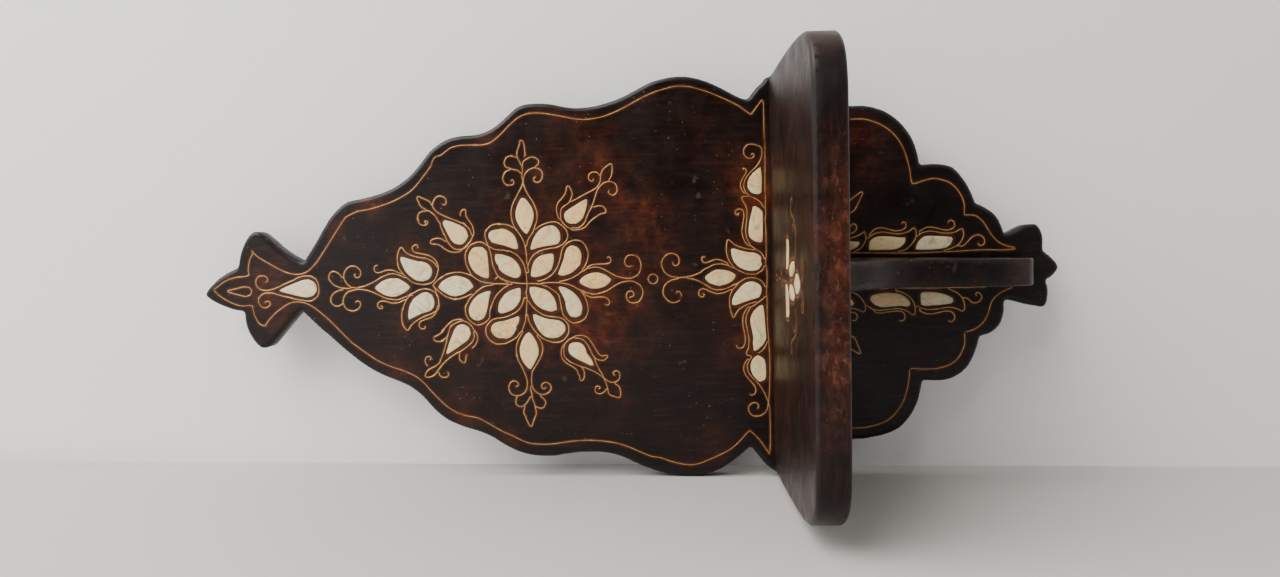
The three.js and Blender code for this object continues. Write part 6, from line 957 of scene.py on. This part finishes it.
for i, (n, l) in enumerate(pearls.items()):
    pearl_piece(n, l, on_board, i)
for i, (n, l) in enumerate(shelf_pearls.items()):
    pearl_piece(n, l, on_shelf, i)

# ---------------------------------------------------------------- brass wires
wire_looks = brass("brass_wire")


def wires(name, lines, place, replaces=None, seed=1, **kw):
    o = strips(name, lines, place, seed=seed, **kw)
    o.data.materials.append(wire_looks)
    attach(o, "root")
    if replaces:
        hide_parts(replaces)
    return o


wires("inlay_border_upper", [border[k] for k in ("UL", "UL2", "UL3", "UL4", "UB", "UR", "UR2", "UR3", "UR4")], on_board, "wire_border_upper", 2, width=0.40, proud=0.06)
wires("inlay_border_lower_l", [border[k] for k in ("LL", "LL2", "LL3")], on_board, "wire_border_lower_l", 3, width=0.44, proud=0.06)
wires("inlay_border_lower_r", [border[k] for k in ("LR", "LR2", "LR3")], on_board, "wire_border_lower_r", 4, width=0.44, proud=0.06)
wires("inlay_centre_ring", [border["ring"]], on_board, "wire_centre_ring", 5)
wires("inlay_bracket_lines", [border["SL"], border["SR"]], on_board, None, 6, width=0.50)
zones = {"inlay_scroll_crown": (185, 400), "inlay_scroll_rosette": (-25, 185), "inlay_scroll_row": (-125, -25), "inlay_scroll_lower": (-400, -125)}
for i, (n, (lo, hi)) in enumerate(zones.items()):
    part = [l for l in scroll if lo <= l[:, 1].mean() < hi]
    if part:
        wires(n, part, on_board, None, 10 + i)

# ---------------------------------------------------------------- shelf
sp = pairs(SHELF_OUTLINE)
curve = flowing(sp[1:-1], 2.0, False, 60)
curve = np.vstack([[[sp[0][0] + 0.3, 0.3]], [[sp[1][0] - 0.25, 8.0]], curve, [[sp[-2][0] + 0.0, 8.0]], [[sp[-1][0], 0.3]]])
back_edge = np.stack([np.linspace(curve[-1][0], curve[0][0], 110)[1:-1], np.full(108, 0.3)], 1)
shelf_loop = np.vstack([spaced(curve, 1.8, False), back_edge])
area = np.sum(shelf_loop[:, 0] * np.roll(shelf_loop[:, 1], -1) - np.roll(shelf_loop[:, 0], -1) * shelf_loop[:, 1])
if area < 0:
    shelf_loop = shelf_loop[::-1]
rounded = shelf_loop[:, 1] > 0.31
# the rounded run has to be one unbroken stretch
cut = int(np.where(~rounded)[0][0])
shelf_loop = np.roll(shelf_loop, -cut, axis=0)
rounded = np.roll(rounded, -cut)
shelf_lines = [pairs(a) for a in SHELF_LINES]
shelf_lines.append(circle(0.75, 59.5, 5.0, 24))
shelf_lines[-1] = np.vstack([shelf_lines[-1], shelf_lines[-1][:1]])
for l in shelf_pearls.values():
    q = l + normals(l, True) * 2.1
    q = spaced(q, 2.0, True)
    shelf_lines.append(np.vstack([q, q[:1]]))
s_dense = np.vstack([flowing(l, 0.5, False) for l in shelf_lines])
s_wire, s_pearl = tree(s_dense), tree(np.vstack([spaced(l, 0.4, True) for l in shelf_pearls.values()]))
s_edge = tree(spaced(shelf_loop[rounded], 0.5, False))
s_extra = [ring_points(l, (0.75, 1.4, 3.0)) for l in shelf_pearls.values()]
for l in shelf_lines:
    q = flowing(l, 1.1, False)
    nn = normals(q, False)
    s_extra += [q + nn * d for d in (-1.7, -1.0, -0.5, 0.5, 1.0, 1.7)]
SHELF_GLOW = [(-38, 206, 40, 0.75), (15, 206, 32, 0.35), (52, 206, 40, 0.40)]


def shelf_glow(v):
    # the front edge is worn to a red-brown in its middle
    g = np.zeros(len(v))
    front = np.clip((v[:, 1] - 190) / 10, 0, 1)
    low = np.clip((v[:, 2] - 3) / 12, 0, 1)
    for x, _, r, s in SHELF_GLOW:
        g += s * np.exp(-((v[:, 0] - x) ** 2) / (2 * (r * 0.75) ** 2))
    g = g * front * (0.45 + 0.55 * low)
    g = g + 0.10 * (1 - front) * (0.6 + patchy(v, 40.0, 2.0))
    return np.clip(g * (0.8 + 0.8 * patchy(v, 11.0, 7.0)), 0, 1)


def shelf_dark(v):
    # both ends of the front edge are stained black, and so is its upper half
    front = np.clip((v[:, 1] - 192) / 8, 0, 1)
    ends = np.clip((v[:, 0] - 96) / 26, 0, 1) + np.clip((-118 - v[:, 0]) / 20, 0, 1)
    high = np.clip((9 - v[:, 2]) / 7, 0, 1) * 0.6
    return 7.0 - 6.0 * front * np.clip(ends + high + 0.5 * patchy(v, 14.0, 9.0), 0, 1)


shelf = slab("shelf_board", shelf_loop, rounded, 3.3, 3.3, SHELF_T, on_shelf, extra=np.vstack(s_extra),
             pockets=[(l + normals(l, True) * 0.3, 2.1) for l in shelf_pearls.values()], grid=5.0,
             lift=lambda p, d: 0.05 * patchy(p, 40.0, 3.0) * np.clip(d / 4, 0, 1),
             fields=(("wire_d", lambda v: np.where(v[:, 2] < 1.0, far(s_wire, v[:, :2]), 9.0)),
                     ("pearl_d", lambda v: np.where(v[:, 2] < 3.0, far(s_pearl, v[:, :2]), 9.0)),
                     ("edge_d", shelf_dark), ("glow", shelf_glow)))
shelf.data.materials.append(wood("dark_wood_shelf", (9, 95, 95), 1.0, (0, 0, 0), 1.0, 0.055))
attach(shelf, "root")
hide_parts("shelf")
wire_looks = brass("brass_wire_worn", (0.40, 0.20, 0.105), (0.15, 0.06, 0.030), (0.42, 0.6), 0.5)
wires("inlay_scroll_shelf", shelf_lines, on_shelf, None, 21, width=0.50, proud=0.02)

# ---------------------------------------------------------------- bracket
bp = pairs(BRACKET_PROFILE)
bc = flowing(bp, 2.0, False, 50)
top = np.stack([np.linspace(-0.3, bc[0][0], 60), np.full(60, -139.95)], 1)[:-1]
wall_edge = np.stack([np.full(76, -0.3), np.linspace(bc[-1][1], -139.95, 76)], 1)[1:-1]
br_loop = np.vstack([bc, wall_edge, top])
br_round = np.r_[np.ones(len(bc), bool), np.zeros(len(wall_edge) + len(top), bool)]
area = np.sum(br_loop[:, 0] * np.roll(br_loop[:, 1], -1) - np.roll(br_loop[:, 0], -1) * br_loop[:, 1])
if area < 0:
    br_loop, br_round = br_loop[::-1], br_round[::-1]
br_edge = tree(spaced(br_loop[br_round], 0.5, False))
bracket = slab("bracket_fin", br_loop, br_round, 1.8, 1.8, 22.0, on_bracket, grid=6.0,
               fields=(("wire_d", lambda v: 9.0 + 0 * v[:, 0]), ("pearl_d", lambda v: 9.0 + 0 * v[:, 0]),
                       ("edge_d", lambda v: 9.0 + 0 * v[:, 0]), ("glow", lambda v: np.clip(0.12 + 0.3 * patchy(v, 20.0, 4.0), 0, 1))))
bracket.data.materials.append(wood("dark_wood_bracket", (95, 95, 9), 0.5))
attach(bracket, "root")
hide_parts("bracket")

# ---------------------------------------------------------------- CAD nodes that stay: screws and the hanging plate
st = steel()
pl = brass("brass_plate", (0.55, 0.36, 0.13), (0.20, 0.10, 0.04), (0.3, 0.5), 1.0, 0.6)
for n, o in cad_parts.items():
    if n.startswith("screw_") or n == "hanger_plate":
        m = st if n.startswith("screw_") else pl
        o.data.materials.clear()
        o.data.materials.append(m)

# ---------------------------------------------------------------- stage
def sheet(name, corners, mat, cuts=1):
    me = bpy.data.meshes.new(name)
    me.from_pydata([tuple(c) for c in corners], [], [(0, 1, 2, 3)])
    o = bpy.data.objects.new(name, me)
    bpy.context.scene.collection.objects.link(o)
    me.materials.append(mat)
    return o


def stage_mat(name, col, rough):
    m = Mat(name)
    f = m.coords()
    n1 = m.noise(f, 1.6, 3.0, 0.5)
    n2 = m.noise(f, 220.0, 2.0, 0.5)
    c = m.ramp(n1, (0.3, tuple(x * 0.96 for x in col)), (0.7, col))
    m.t.links.new(c, m.b.inputs["Base Color"])
    m.b.inputs["Roughness"].default_value = rough
    m.t.links.new(m.bump(n2, 0.0003, 0.2), m.b.inputs["Normal"])
    # seen from behind the sheet is clear, so that it never hides the back of the shelf, and
    # so it is within a few centimetres of what hangs on it, which lets light reach that back
    geo = m.node("ShaderNodeNewGeometry")
    path = m.node("ShaderNodeLightPath")
    near = m.math("LESS_THAN", path.outputs["Ray Length"], 0.032)
    xyz = m.node("ShaderNodeSeparateXYZ")
    m.t.links.new(geo.outputs["Position"], xyz.inputs[0])
    near = m.math("MULTIPLY", near, m.span(xyz.outputs[0], -0.162, -0.140))
    behind = m.math("MAXIMUM", geo.outputs["Backfacing"], near)
    clear = m.node("ShaderNodeBsdfTransparent")
    mx = m.node("ShaderNodeMixShader")
    m.t.links.new(behind, mx.inputs[0])
    m.t.links.new(m.b.outputs[0], mx.inputs[1])
    m.t.links.new(clear.outputs[0], mx.inputs[2])
    out = [x for x in m.t.nodes if x.type == "OUTPUT_MATERIAL"][0]
    m.t.links.new(mx.outputs[0], out.inputs[0])
    return m.m


pale = stage_mat("pale_wall", (0.88, 0.873, 0.860), 0.6)
pale2 = stage_mat("pale_floor", (0.46, 0.437, 0.415), 0.5)
WALL_Y = 0.024


def floor_x(z):
    return -0.1668 + 0.028 * (z + 0.118)


sheet("stage_wall", [(floor_x(-2.2), WALL_Y, -2.2), (3.0, WALL_Y, -2.2), (3.0, WALL_Y, 2.6), (floor_x(2.6), WALL_Y, 2.6)], pale)
sheet("stage_floor", [(floor_x(-2.2), WALL_Y, -2.2), (floor_x(2.6), WALL_Y, 2.6), (floor_x(2.6), -3.2, 2.6), (floor_x(-2.2), -3.2, -2.2)], pale2)

world = bpy.data.worlds.new("room")
bpy.context.scene.world = world
world.use_nodes = True
wt = world.node_tree
bg = wt.nodes["Background"]
tc = wt.nodes.new("ShaderNodeTexCoord")
dot = wt.nodes.new("ShaderNodeVectorMath")
dot.operation = "DOT_PRODUCT"
wt.links.new(tc.outputs["Generated"], dot.inputs[0])
dot.inputs[1].default_value = (0.05, -0.998, -0.03)
# the room is dimmer straight in front of the board than to its sides
rp = wt.nodes.new("ShaderNodeValToRGB")
rp.color_ramp.elements[0].position, rp.color_ramp.elements[0].color = 0.34, (1, 0.995, 0.98, 1)
rp.color_ramp.elements[1].position, rp.color_ramp.elements[1].color = 0.93, (0.05, 0.048, 0.046, 1)
wt.links.new(dot.outputs["Value"], rp.inputs[0])
wt.links.new(rp.outputs[0], bg.inputs[0])
# behind the wall there is only the light for the board's back, and a viewer there sees plain pale surroundings
lp = wt.nodes.new("ShaderNodeLightPath")
lift = wt.nodes.new("ShaderNodeMapRange")
lift.inputs[1].default_value, lift.inputs[2].default_value = -0.70, -0.82
lift.inputs[3].default_value, lift.inputs[4].default_value = 0.86, 2.2
wt.links.new(dot.outputs["Value"], lift.inputs[0])
wt.links.new(lift.outputs[0], bg.inputs[1])
bg2 = wt.nodes.new("ShaderNodeBackground")
bg2.inputs[0].default_value, bg2.inputs[1].default_value = (0.80, 0.795, 0.785, 1), 0.72
both = wt.nodes.new("ShaderNodeMixShader")
wt.links.new(lp.outputs["Is Camera Ray"], both.inputs[0])
wt.links.new(bg.outputs[0], both.inputs[1])
wt.links.new(bg2.outputs[0], both.inputs[2])
wt.links.new(both.outputs[0], [x for x in wt.nodes if x.type == "OUTPUT_WORLD"][0].inputs[0])


def area_light(name, loc, target, size, power, colour=(1, 1, 1)):
    d = bpy.data.lights.new(name, "AREA")
    d.shape, d.size, d.energy, d.color = "SQUARE", size, power, colour
    o = bpy.data.objects.new(name, d)
    o.location = loc
    o.rotation_mode = "QUATERNION"
    o.rotation_quaternion = (Vector(target) - Vector(loc)).to_track_quat("-Z", "Y")
    bpy.context.scene.collection.objects.link(o)


area_light("key", (1.8, -0.9, 1.4), (0, 0, 0.1), 2.4, 150, (1.0, 0.99, 0.975))
area_light("fill", (0.25, -2.3, 1.35), (0, 0, 0.1), 1.2, 9, (1.0, 0.985, 0.965))
area_light("low", (1.1, -1.4, -1.7), (0, 0, -0.25), 1.0, 3.5, (1.0, 0.975, 0.95))

# ---------------------------------------------------------------- camera, at the photograph's viewing angle
cam_data = bpy.data.cameras.new("camera")
cam = bpy.data.objects.new("camera", cam_data)
bpy.context.scene.collection.objects.link(cam)
right = Vector((-0.02870701, 0.01877849, -0.99941146))
down = Vector((-0.99787272, -0.05908364, 0.02755266))
ahead = Vector((-0.05853147, 0.9980764, 0.02043465))
rot = Matrix((right, -down, -ahead)).transposed()
cam.matrix_world = Matrix.Translation(Vector((0.03645789, -0.75420933, -0.02493711))) @ rot.to_4x4()
cam_data.sensor_width = 36.0
cam_data.lens = 25.3125
cam_data.clip_start, cam_data.clip_end = 0.02, 20
bpy.context.scene.camera = cam

bpy.context.view_layer.update()
